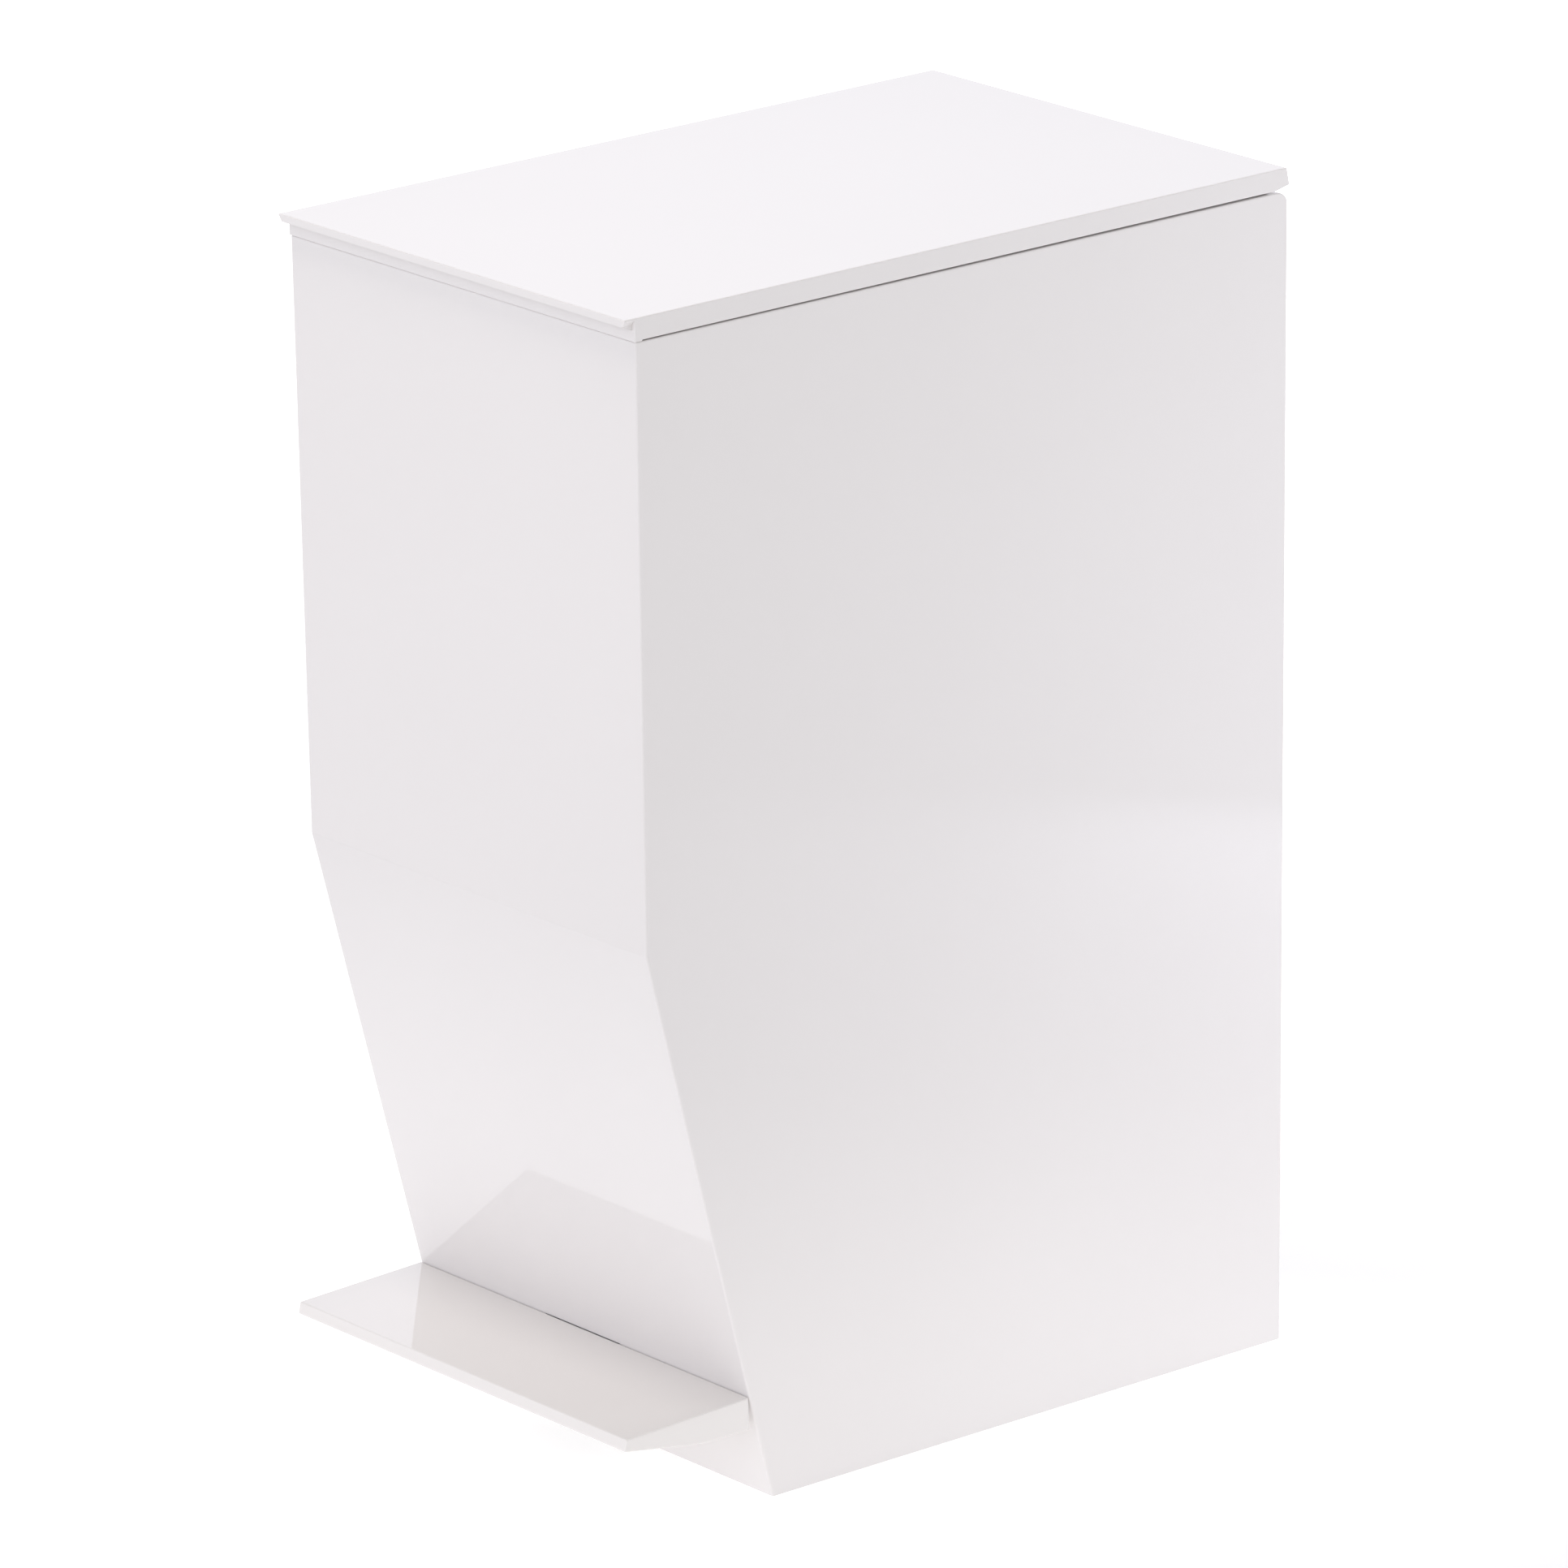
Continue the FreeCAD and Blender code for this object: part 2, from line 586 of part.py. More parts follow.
def lid_cover():
    """Flat lid with a skirt, a lip along the front and a bevel under its back."""
    body = new_body("lid_cover")
    side = outline(
        body,
        "lid_side",
        "YZ_Plane",
        [
            ("dim.skirt_front_y", "dim.skirt_front_z"),
            ("dim.skirt_front_y + dim.wall", "dim.skirt_front_z"),
            ("dim.skirt_front_y + dim.wall + 0.2", "dim.skirt_low_z"),
            ("dim.lid_heel_y", "dim.lid_heel_z"),
            ("dim.lid_rear_y", "dim.lid_rear_z"),
            ("dim.lid_rear_top_y", "dim.lid_top_z"),
            ("dim.lip_front_y", "dim.lid_top_z"),
            ("dim.lip_front_y + dim.lip_lean", "dim.lip_low_z"),
            ("dim.skirt_front_y", "dim.lip_root_z"),
        ],
    )
    pad(body, side, "2 * dim.lid_half")
    top_z, half = dims("lid_top_z", "lid_half")

    def is_top(edge, middle):
        return abs(middle.z - top_z) < 0.02 and edge.Length > 3.5

    soften(body, "lid_top_edges", is_top, "dim.lid_round")
    # the ends of the lip lean in towards its underside
    for number, sign in enumerate(("", "-")):
        wedge = outline(
            body,
            f"lip_end_{number}",
            "XZ_Plane",
            [
                (f"{sign}(dim.lid_half)", "dim.lid_top_z - dim.lid_round - 0.1"),
                (f"{sign}(dim.lid_half - {LIP_END_LEAN})", "dim.lip_low_z"),
                (f"{sign}(dim.lid_half - {LIP_END_LEAN})", "dim.lip_root_z - 0.01"),
                (f"{sign}(dim.lid_half + 2)", "dim.lip_root_z - 0.01"),
                (f"{sign}(dim.lid_half + 2)", "dim.lid_top_z - dim.lid_round - 0.1"),
            ],
        )
        wedge.setExpression("AttachmentOffset.Base.z", "-dim.skirt_front_y")
        cut = body.newObject("PartDesign::Pocket", f"lip_end_{number}_pocket")
        cut.Profile = wedge
        cut.Reversed = True
        cut.setExpression("Length", "dim.skirt_front_y - dim.lip_front_y + 2")
    heel_z = value("dim.lid_heel_z")

    def is_lower_side(edge, middle):
        on_side = abs(abs(middle.x) - half) < 0.02
        return on_side and middle.z < heel_z and edge.Length > 100

    soften(body, "lid_lower_edges", is_lower_side, "0.3")
    front_y, lip_low_z = dims("skirt_front_y", "lip_low_z")

    def is_skirt_corner(edge, middle):
        on_corner = abs(abs(middle.x) - half) < 0.02 and abs(middle.y - front_y) < 0.02
        return on_corner and middle.z < lip_low_z and runs_up(edge)

    soften(body, "lid_skirt_corners", is_skirt_corner, "0.4")
    cavity_front = "dim.skirt_front_y + dim.wall"
    cavity_start = ("-dim.lid_half + dim.wall", cavity_front, "dim.skirt_front_z - 3")
    cavity_end = ("dim.lid_half - dim.wall", "dim.lid_heel_y - 0.2", "dim.lid_top_z - dim.lid_skin")
    cut_block(body, "lid_cavity", cavity_start, cavity_end)
    boss_low = "dim.frame_low_z + dim.frame_skin"
    height = f"dim.lid_top_z - dim.lid_skin - ({boss_low}) + 0.2"
    for number, (x, y) in enumerate(LID_SCREW_SPOTS):
        start = (x, y, boss_low)
        round_bar(body, f"lid_boss_{number}", "Z", start, height, LID_BOSS_RADIUS)
        bore(body, f"lid_boss_hole_{number}", "Z", start, "3.4", THREAD_RADIUS)
    return body


def lid_frame():
    """Inner lid panel with two knuckles round the hinge pin."""
    body = new_body("lid_frame")
    top = "dim.frame_low_z + dim.frame_skin"
    front = "dim.skirt_front_y + dim.wall + 0.7"
    panel_end = ("dim.frame_half", "dim.lid_heel_y - 0.6", top)
    block(body, "panel", ("-dim.frame_half", front, "dim.frame_low_z"), panel_end)

    def is_upright(edge, middle):
        return abs(abs(middle.x) - value("dim.frame_half")) < 0.01 and runs_up(edge)

    soften(body, "panel_corners", is_upright, "5")
    for side, (low, high) in (
        ("right", ("dim.knuckle_in", "dim.knuckle_out")),
        ("left", ("-dim.knuckle_out", "-dim.knuckle_in")),
    ):
        width = "dim.knuckle_out - dim.knuckle_in"
        web_end = (high, "dim.lid_heel_y - 0.6", top)
        block(body, f"{side}_web", (low, "dim.hinge_y - 6", "dim.hinge_z - 1"), web_end)
        start = (low, "dim.hinge_y", "dim.hinge_z")
        round_bar(body, f"{side}_knuckle", "X", start, width, "dim.back_round")
        bore_start = (f"{low} - 1", "dim.hinge_y", "dim.hinge_z")
        bore_radius = "dim.pin_radius + dim.running_gap"
        bore(body, f"{side}_bore", "X", bore_start, width + " + 2", bore_radius)
    for number, (x, y) in enumerate(LID_SCREW_SPOTS):
        start = (x, y, "dim.frame_low_z - 1")
        bore(body, f"frame_hole_{number}", "Z", start, "dim.frame_skin + 2", CLEAR_HOLE)
    for number, (x, y) in enumerate(CAM_SCREW_SPOTS):
        start = (x, y, "dim.frame_low_z - 1")
        length = "dim.frame_skin + 0.6"
        bore(body, f"cam_screw_hole_{number}", "Z", start, length, CAM_THREAD_RADIUS)
    return body


def cam_point(turn):
    """A point of the cam's contact face, from the hinge axis with the lid shut.

    The rod's travel is CAM_ARM times the lid's turn, so the face is an involute of a
    circle of radius CAM_ARM: the point that touches the shoe when the lid has turned.
    """
    height = CAM_ARM * turn - cam_low
    y = -CAM_ARM * math.cos(turn) - height * math.sin(turn)
    z = -CAM_ARM * math.sin(turn) + height * math.cos(turn)
    return App.Vector(0, y, z)


def cam_lever():
    """Plate with an involute face over the rod's shoe, a boss round the pin and a flange."""
    half, knuckle, hole_radius = dims("cam_half", "back_round", "pin_radius")
    hole_radius += value("dim.running_gap")
    steps = 12
    early = math.radians(-5)
    turns = [early + (LID_SWING - early) * n / steps for n in range(steps + 1)]
    face = Part.BSplineCurve()
    face.interpolate([cam_point(turn) for turn in turns])
    nose = cam_point(LID_SWING)
    toe = cam_point(early)
    under_panel = value("dim.frame_low_z") - hinge_z
    front = toe.y - 0.4
    back = knuckle - 3.6
    # past the nose the plate turns up steeply enough to stay over the shoe to the end
    steep = math.tan(LID_SWING) + 0.5
    corners = [
        nose,
        App.Vector(0, back, nose.z + steep * (back - nose.y)),
        App.Vector(0, back, under_panel),
        App.Vector(0, front, under_panel),
        App.Vector(0, front, toe.z),
        toe,
    ]
    edges = [face.toShape()]
    for one, other in zip(corners, corners[1:]):
        edges.append(Part.LineSegment(one, other).toShape())
    plate = Part.Face(Part.Wire(Part.__sortEdges__(edges))).extrude(App.Vector(2 * half, 0, 0))
    plate.translate(App.Vector(-half, 0, 0))
    along = App.Vector(1, 0, 0)
    boss = Part.makeCylinder(knuckle, 2 * half, App.Vector(-half, 0, 0), along)
    flange = Part.makeBox(
        2 * CAM_FLANGE_HALF,
        CAM_FLANGE_BACK - CAM_FLANGE_FRONT,
        under_panel - CAM_FLANGE_LOW,
        App.Vector(-CAM_FLANGE_HALF, CAM_FLANGE_FRONT, CAM_FLANGE_LOW),
    )
    hole = Part.makeCylinder(hole_radius, 2 * half + 2, App.Vector(-half - 1, 0, 0), along)
    solid = plate.fuse([boss, flange]).removeSplitter().cut(hole)
    up = App.Vector(0, 0, 1)
    for x, y in CAM_SCREW_SPOTS:
        spot = App.Vector(x, y - hinge_y, 0)
        solid = solid.cut(Part.makeCylinder(CLEAR_HOLE, 12, spot, up))
    node = doc.addObject("Part::Feature", "cam_lever")
    node.Label = "cam_lever"
    node.Shape = solid
    node.Placement = App.Placement(App.Vector(0, hinge_y, hinge_z), App.Rotation())
    return node


def lid_screws():
    spots = [(x, y, "dim.frame_low_z") for x, y in LID_SCREW_SPOTS]
    return screws("lid_screws", "Z", spots, THREAD_RADIUS, 5.0, HEAD_RADIUS, LID_HEAD_HEIGHT)


def cam_screws():
    low = f"dim.hinge_z + {CAM_FLANGE_LOW}"
    spots = [(x, y, low) for x, y in CAM_SCREW_SPOTS]
    head = (CAM_HEAD_RADIUS, LID_HEAD_HEIGHT)
    return screws("cam_screws", "Z", spots, CAM_THREAD_RADIUS, 3.9, *head)


# ---------------------------------------------------------------- pedal

PEDAL_SCREW_SPOTS = ((-9.0, -104.0), (9.0, -104.0), (0.0, -94.0))
PEDAL_BOSS_RADIUS = 4.2
ARM_TOP_Z = 30.0
ARM_LOW_Z = 26.0
EYE_RADIUS = 5.5
WAIST_HALF = 8.0
BUSH_FLANGE = 1.5
BUSH_LENGTH = 9.0
RIB_XS = (-60.0, -40.0, -22.0, 22.0, 40.0, 60.0)
RIB_HALF = 0.8


def pedal_plate():
    """Full-width tread with side skirts and a thin front edge, hollow and ribbed below."""
    body = new_body("pedal_plate")
    tread = [
        ("dim.pedal_heel_y", "dim.pedal_low_z"),
        ("dim.tread_rear_y", "dim.tread_rear_z"),
        ("dim.tread_front_y", "dim.tread_front_z"),
        ("dim.nose_y", "dim.nose_z"),
        ("dim.pedal_low_y", "dim.pedal_low_z"),
    ]
    pad(body, outline(body, "pedal_side", "YZ_Plane", tread), "2 * dim.pedal_half")
    low_y, low_z, nose_y, nose_z = dims("pedal_low_y", "pedal_low_z", "nose_y", "nose_z")

    def is_low_bend(edge, middle):
        return abs(middle.y - low_y) < 0.1 and abs(middle.z - low_z) < 0.1 and edge.Length > 100

    soften(body, "pedal_low_bend", is_low_bend, "60")

    def is_outer(edge, middle):
        on_side = abs(abs(middle.x) - value("dim.pedal_half")) < 0.02
        on_nose = middle.y < value("dim.nose_y") + 1.2 and edge.Length > 100
        return on_side or on_nose

    soften(body, "pedal_edges", is_outer, "0.4")
    inside = [
        ("dim.pedal_heel_y + 2", "dim.pedal_low_z - 2"),
        ("dim.pedal_heel_y + 2", "dim.tread_rear_z - dim.pedal_skin"),
        ("dim.tread_rear_y", "dim.tread_rear_z - dim.pedal_skin"),
        ("dim.tread_front_y + dim.pedal_skin", "dim.tread_front_z - dim.pedal_skin"),
        ("dim.tread_front_y + dim.pedal_skin", "dim.pedal_low_z - 2"),
    ]
    underside = outline(body, "pedal_inside", "YZ_Plane", inside)
    pocket(body, underside, "2 * (dim.pedal_half - dim.pedal_skin)")
    for number, x in enumerate(RIB_XS):
        rib_start = (x - RIB_HALF, "dim.tread_front_y + 1.5", "dim.nose_z")
        rib_end = (x + RIB_HALF, "dim.pedal_heel_y - 1", "dim.tread_front_z - 1")
        block(body, f"rib_{number}", rib_start, rib_end)
    for number, (x, y) in enumerate(PEDAL_SCREW_SPOTS):
        height = f"dim.tread_front_z - {ARM_TOP_Z} - 0.6"
        round_bar(body, f"pedal_boss_{number}", "Z", (x, y, ARM_TOP_Z), height, PEDAL_BOSS_RADIUS)
        hole_start = (x, y, ARM_TOP_Z - 1)
        bore(body, f"pedal_boss_hole_{number}", "Z", hole_start, "3", THREAD_RADIUS)
    return body


def pedal_lever():
    """See-saw lever: a wide arm under the pedal, a hub on the axle and a narrow tail."""
    body = new_body("pedal_lever")
    tail_y = f"{HOOK_Y} - 5"
    side = outline(
        body,
        "lever_side",
        "YZ_Plane",
        [
            ("-112", ARM_LOW_Z),
            ("-86", ARM_LOW_Z),
            ("-70", "24"),
            ("-40", "19.5"),
            ("dim.pivot_y", "dim.pivot_z - 7.5"),
            (tail_y, f"{HOOK_Z} - {EYE_RADIUS}"),
            (tail_y, f"{HOOK_Z} + {EYE_RADIUS}"),
            ("dim.pivot_y", "dim.pivot_z + 6"),
            ("-40", "31"),
            ("-76", ARM_TOP_Z),
            ("-112", ARM_TOP_Z),
        ],
    )
    pad(body, side, "2 * dim.arm_half")
    for sign in ("", "-"):
        name = "lever_waist_" + ("right" if sign == "" else "left")
        waist = [
            (f"{sign}(dim.arm_half + 1)", "-66"),
            (f"{sign}(dim.arm_half)", "-66"),
            (f"{sign}({WAIST_HALF})", "-45"),
            (f"{sign}({WAIST_HALF})", "dim.pivot_y"),
            (f"{sign}(dim.tail_half)", "dim.pivot_y + 45"),
            (f"{sign}(dim.tail_half)", "140"),
            (f"{sign}(dim.arm_half + 1)", "140"),
        ]
        pocket(body, outline(body, name, "XY_Plane", waist), "200")
    tail_start = ("-dim.tail_half", HOOK_Y, HOOK_Z)
    round_bar(body, "tail_eye", "X", tail_start, "2 * dim.tail_half", EYE_RADIUS)
    hub_start = ("-dim.arm_half", "dim.pivot_y", "dim.pivot_z")
    round_bar(body, "hub", "X", hub_start, "2 * dim.arm_half", "dim.hub_radius")
    bush_hole = ("-dim.arm_half - 1", "dim.pivot_y", "dim.pivot_z")
    bore(body, "bush_hole", "X", bush_hole, "2 * dim.arm_half + 2", "dim.bush_radius")
    hook_start = ("-dim.tail_half - 1", HOOK_Y, HOOK_Z)
    hook_radius = "dim.pin_radius + dim.hook_gap"
    bore(body, "hook_hole", "X", hook_start, "2 * dim.tail_half + 2", hook_radius)
    for number, (x, y) in enumerate(PEDAL_SCREW_SPOTS):
        bore(body, f"arm_hole_{number}", "Z", (x, y, ARM_LOW_Z - 1), "6", CLEAR_HOLE)
    return body


def pedal_screws():
    spots = [(x, y, ARM_LOW_Z) for x, y in PEDAL_SCREW_SPOTS]
    return screws("pedal_screws", "Z", spots, THREAD_RADIUS, 5.8, HEAD_RADIUS, HEAD_HEIGHT)


def pedal_bushes():
    """Two flanged bushes in the lever's hub, running on the axle."""
    made = []
    for side, sign in (("right", 1), ("left", -1)):
        axis = "X" if sign > 0 else "-X"
        flange_start = (f"{sign} * dim.arm_half", "dim.pivot_y", "dim.pivot_z")
        sleeve_x = f"{sign} * (dim.arm_half - {BUSH_LENGTH})"
        sleeve_start = (sleeve_x, "dim.pivot_y", "dim.pivot_z")
        length = BUSH_LENGTH + BUSH_FLANGE
        sleeve = part_bar(f"{side}_sleeve", axis, sleeve_start, length, "dim.bush_radius")
        flange_radius = "dim.hub_radius - 1"
        flange = part_bar(f"{side}_flange", axis, flange_start, BUSH_FLANGE, flange_radius)
        hole_x = f"{sign} * (dim.arm_half - {BUSH_LENGTH} - 1)"
        hole_start = (hole_x, "dim.pivot_y", "dim.pivot_z")
        hole_radius = "dim.axle_radius + dim.running_gap"
        hole = part_bar(f"{side}_bush_hole", axis, hole_start, length + 2.5, hole_radius)
        bush = doc.addObject("Part::Cut", f"{side}_bush")
        bush.Base = fuse(f"{side}_bush_blank", sleeve, flange)
        bush.Tool = hole
        made.append(bush)
    return group("pedal_bushes", made)


# ---------------------------------------------------------------- lift rod


def lift_rod():
    """Bent wire: a lower leg through the lever, an upright, and an upper leg under the cam."""
    radius, bend, rod_x, rod_y = dims("pin_radius", "rod_bend", "rod_x", "rod_y")
    low, high = value(HOOK_Z), value(SHOE_Z)
    tip = -value("dim.tail_half") - 3.0
    top_tip = -value("dim.cam_half") - 1.5
    slack = bend * (1 - math.sqrt(0.5))
    path = [
        Part.LineSegment(App.Vector(tip, rod_y, low), App.Vector(rod_x - bend, rod_y, low)),
        Part.Arc(
            App.Vector(rod_x - bend, rod_y, low),
            App.Vector(rod_x - slack, rod_y, low + slack),
            App.Vector(rod_x, rod_y, low + bend),
        ),
        Part.LineSegment(
            App.Vector(rod_x, rod_y, low + bend), App.Vector(rod_x, rod_y, high - bend)
        ),
        Part.Arc(
            App.Vector(rod_x, rod_y, high - bend),
            App.Vector(rod_x - slack, rod_y, high - slack),
            App.Vector(rod_x - bend, rod_y, high),
        ),
        Part.LineSegment(App.Vector(rod_x - bend, rod_y, high), App.Vector(top_tip, rod_y, high)),
    ]
    wire = Part.Wire([curve.toShape() for curve in path])
    end_circle = Part.Circle(App.Vector(tip, rod_y, low), App.Vector(1, 0, 0), radius)
    section = Part.Wire([end_circle.toShape()])
    node = doc.addObject("Part::Feature", "lift_rod")
    node.Label = "lift_rod"
    node.Shape = wire.makePipeShell([section], True, False)
    return node


def cam_shoe():
    """Nylon sleeve pressed on the rod's upper leg."""
    body = new_body("cam_shoe")
    start = ("-dim.cam_half - 0.8", "dim.rod_y", SHOE_Z)
    round_bar(body, "shoe", "X", start, "2 * dim.cam_half + 1.6", "dim.shoe_radius")
    bore_start = ("-dim.cam_half - 2", "dim.rod_y", SHOE_Z)
    bore(body, "shoe_bore", "X", bore_start, "2 * dim.cam_half + 4", "dim.pin_radius")
    return body


def rod_clip():
    """Retaining washer on the end of the rod's lower leg."""
    body = new_body("rod_clip")
    start = ("-dim.tail_half - 1.8", "dim.rod_y", HOOK_Z)
    round_bar(body, "clip", "X", start, "1", "dim.pin_radius + 2.4")
    bore_start = ("-dim.tail_half - 3", "dim.rod_y", HOOK_Z)
    bore(body, "clip_bore", "X", bore_start, "4", "dim.pin_radius")
    return body


def rod_guide(level):
    """Block with a running bore for the rod's upright, screwed to its pad on the shell."""
    height = GUIDE_HEIGHTS[level]
    body = new_body(f"{level}_rod_guide")
    low, high = height - GUIDE_HALF_HEIGHT, height + GUIDE_HALF_HEIGHT
    start = (-GUIDE_HALF_WIDTH, GUIDE_FRONT_Y, low)
    block(body, f"{level}_block", start, (GUIDE_HALF_WIDTH, GUIDE_BACK_Y, high))
    bore_start = ("dim.rod_x", "dim.rod_y", low - 1)
    length = 2 * GUIDE_HALF_HEIGHT + 2
    bore(body, f"{level}_bore", "Z", bore_start, length, "dim.pin_radius + dim.running_gap")
    screw_start = (GUIDE_SCREW_X, GUIDE_FRONT_Y - 1, height)
    depth = GUIDE_BACK_Y - GUIDE_FRONT_Y
    bore(body, f"{level}_screw_hole", "Y", screw_start, depth + 2, CLEAR_HOLE)
    bore(body, f"{level}_head_recess", "Y", screw_start, GUIDE_RECESS + 1, HEAD_RECESS)
    cover_hole = (0, GUIDE_FRONT_Y - 1, height)
    bore(body, f"{level}_cover_hole", "Y", cover_hole, "7", THREAD_RADIUS)
    return body


def guide_screws():
    seat_y = GUIDE_FRONT_Y + GUIDE_RECESS
    spots = [(GUIDE_SCREW_X, seat_y, height) for height in GUIDE_HEIGHTS.values()]
    return screws("guide_screws", "Y", spots, THREAD_RADIUS, 12.0, HEAD_RADIUS, HEAD_HEIGHT)


def rod_cover():
    """Channel over the rod, screwed to the guides, with its legs towards the back."""
    body = new_body("rod_cover")
    half = GUIDE_HALF_WIDTH + 2.3
    low = "dim.deck_top_z + 0.2"
    front = GUIDE_FRONT_Y - COVER_SKIN
    block(body, "channel", (-half, front, low), (half, COVER_BACK_Y, COVER_TOP_Z))

    def is_front_edge(edge, middle):
        return abs(middle.y - front) < 0.01 and runs_up(edge)

    soften(body, "channel_edges", is_front_edge, "1.4")
    inner = GUIDE_HALF_WIDTH + 0.6
    inside_start = (-inner, GUIDE_FRONT_Y, "dim.deck_top_z - 1")
    cut_block(body, "channel_inside", inside_start, (inner, COVER_BACK_Y + 2, COVER_TOP_Z + 2))
    for level, height in GUIDE_HEIGHTS.items():
        bore(body, f"{level}_hole", "Y", (0, front - 1, height), "4", "1.6")
    return body


def cover_screws():
    spots = [(0, GUIDE_FRONT_Y - COVER_SKIN, height) for height in GUIDE_HEIGHTS.values()]
    head = (COVER_HEAD_RADIUS, COVER_HEAD_HEIGHT)
    return screws("cover_screws", "Y", spots, THREAD_RADIUS, 6.5, *head)


# ---------------------------------------------------------------- base

SADDLE_IN = 19.6
SADDLE_OUT = 28.0
SADDLE_HALF = 14.0
CAP_SCREW_REACH = 10.0
CAP_TOP = 6.5
AXLE_HALF = 29.5
POST_SPOTS = [(x, y) for x in (-60.0, 60.0) for y in (-58.0, 96.0)]
POST_RADIUS = 4.5
FOOT_SPOTS = [(x, y) for x in (-60.0, 60.0) for y in (-56.0, 108.0)]
STOP_Y = -60.0
STOP_SEAT_Z = 9.5
STOP_HALF = (9.0, 5.0)
PAD_THICKNESS = 2.0
POST_THREAD_RADIUS = 1.4
FOOT_RADIUS = 7.0
FOOT_TOP_RADIUS = 8.0
DECK_RECESS = 1.5


def base_plate():
    """Bottom plate with saddles for the axle, posts for the false floor and a stop."""
    body = new_body("base_plate")
    front = front_at("dim.base_low_z") + " + dim.wall + 0.8"
    back = rear_at("dim.base_low_z") + " - dim.wall - 0.4"
    plate_start = ("-dim.base_half", front, "dim.base_low_z")
    block(body, "plate", plate_start, ("dim.base_half", back, "dim.base_top_z"))
    for side, low, high in (("right", SADDLE_IN, SADDLE_OUT), ("left", -SADDLE_OUT, -SADDLE_IN)):
        start = (low, f"dim.pivot_y - {SADDLE_HALF}", "dim.base_top_z")
        block(body, f"{side}_saddle", start, (high, f"dim.pivot_y + {SADDLE_HALF}", "dim.pivot_z"))
        for end, reach in (("front", -CAP_SCREW_REACH), ("back", CAP_SCREW_REACH)):
            hole = ((low + high) / 2, f"dim.pivot_y + {reach}", "dim.pivot_z - 11")
            bore(body, f"{side}_{end}_hole", "Z", hole, "12", THREAD_RADIUS)
    axle_seat = (-SADDLE_OUT - 1, "dim.pivot_y", "dim.pivot_z")
    bore(body, "axle_seat", "X", axle_seat, 2 * SADDLE_OUT + 2, "dim.axle_radius")
    for number, (x, y) in enumerate(POST_SPOTS):
        height = "dim.deck_low_z - dim.base_top_z"
        round_bar(body, f"post_{number}", "Z", (x, y, "dim.base_top_z"), height, POST_RADIUS)
        hole_start = (x, y, "dim.deck_low_z - 12")
        bore(body, f"post_hole_{number}", "Z", hole_start, "13", POST_THREAD_RADIUS)
    across, along = STOP_HALF
    stop_end = (across, STOP_Y + along, STOP_SEAT_Z)
    block(body, "stop", (-across, STOP_Y - along, "dim.base_top_z"), stop_end)
    for number, y in enumerate(BASE_SCREW_YS):
        for side, x in (("right", BASE_SCREW_X), ("left", -BASE_SCREW_X)):
            start = (x, y, "dim.base_low_z - 1")
            bore(body, f"{side}_screw_hole_{number}", "Z", start, "5", "1.8")
    return body


def base_screws():
    spots = [(x, y, "dim.base_low_z") for y in BASE_SCREW_YS for x in (BASE_SCREW_X, -BASE_SCREW_X)]
    return screws("base_screws", "Z", spots, BASE_THREAD_RADIUS, 12.0, 3.0, 1.4)


def rubber_feet():
    """Four round pads that hold the shell's lower edge just off the floor."""
    feet = []
    for number, (x, y) in enumerate(FOOT_SPOTS, start=1):
        foot = doc.addObject("Part::Cone", f"foot_{number}")
        foot.Radius1 = FOOT_RADIUS
        foot.Radius2 = FOOT_TOP_RADIUS
        foot.setExpression("Height", "dim.base_low_z")
        place(foot, (x, y, 0))
        feet.append(foot)
    return group("rubber_feet", feet)


def pedal_axle():
    start = (-AXLE_HALF, "dim.pivot_y", "dim.pivot_z")
    axle = part_bar("pedal_axle", "X", start, 2 * AXLE_HALF, "dim.axle_radius")
    axle.Label = "pedal_axle"
    return axle


def axle_caps():
    """Caps that close the saddles over the axle."""
    made = []
    for side, low in (("right", SADDLE_IN), ("left", -SADDLE_OUT)):
        blank = doc.addObject("Part::Box", f"{side}_cap_blank")
        blank.Length = SADDLE_OUT - SADDLE_IN
        blank.Width = 2 * SADDLE_HALF
        blank.Height = CAP_TOP
        place(blank, (low, f"dim.pivot_y - {SADDLE_HALF}", "dim.pivot_z"))
        seat = (low - 1, "dim.pivot_y", "dim.pivot_z")
        cutters = [part_bar(f"{side}_cap_seat", "X", seat, 12, "dim.axle_radius")]
        middle = low + (SADDLE_OUT - SADDLE_IN) / 2
        for end, reach in (("front", -CAP_SCREW_REACH), ("back", CAP_SCREW_REACH)):
            spot = (middle, f"dim.pivot_y + {reach}", "dim.pivot_z - 1")
            name = f"{side}_{end}_cap_hole"
            cutters.append(part_bar(name, "Z", spot, CAP_TOP + 2, CLEAR_HOLE))
        cap = doc.addObject("Part::Cut", f"{side}_cap")
        cap.Base = blank
        tool = doc.addObject("Part::MultiFuse", f"{side}_cap_cutters")
        tool.Shapes = cutters
        cap.Tool = tool
        made.append(cap)
    return group("axle_caps", made)


def axle_cap_screws():
    middle = (SADDLE_IN + SADDLE_OUT) / 2
    top = f"dim.pivot_z + {CAP_TOP}"
    spots = []
    for x in (middle, -middle):
        for reach in (-CAP_SCREW_REACH, CAP_SCREW_REACH):
            spots.append((x, f"dim.pivot_y + {reach}", top))
    return screws("axle_cap_screws", "-Z", spots, THREAD_RADIUS, 15.0, HEAD_RADIUS, HEAD_HEIGHT)


def pedal_stop_pad():
    """Rubber pad on the stop, where the lever lands."""
    body = new_body("pedal_stop_pad")
    across, along = STOP_HALF
    pad_end = (across, STOP_Y + along, STOP_SEAT_Z + PAD_THICKNESS)
    block(body, "pad_block", (-across, STOP_Y - along, STOP_SEAT_Z), pad_end)
    return body


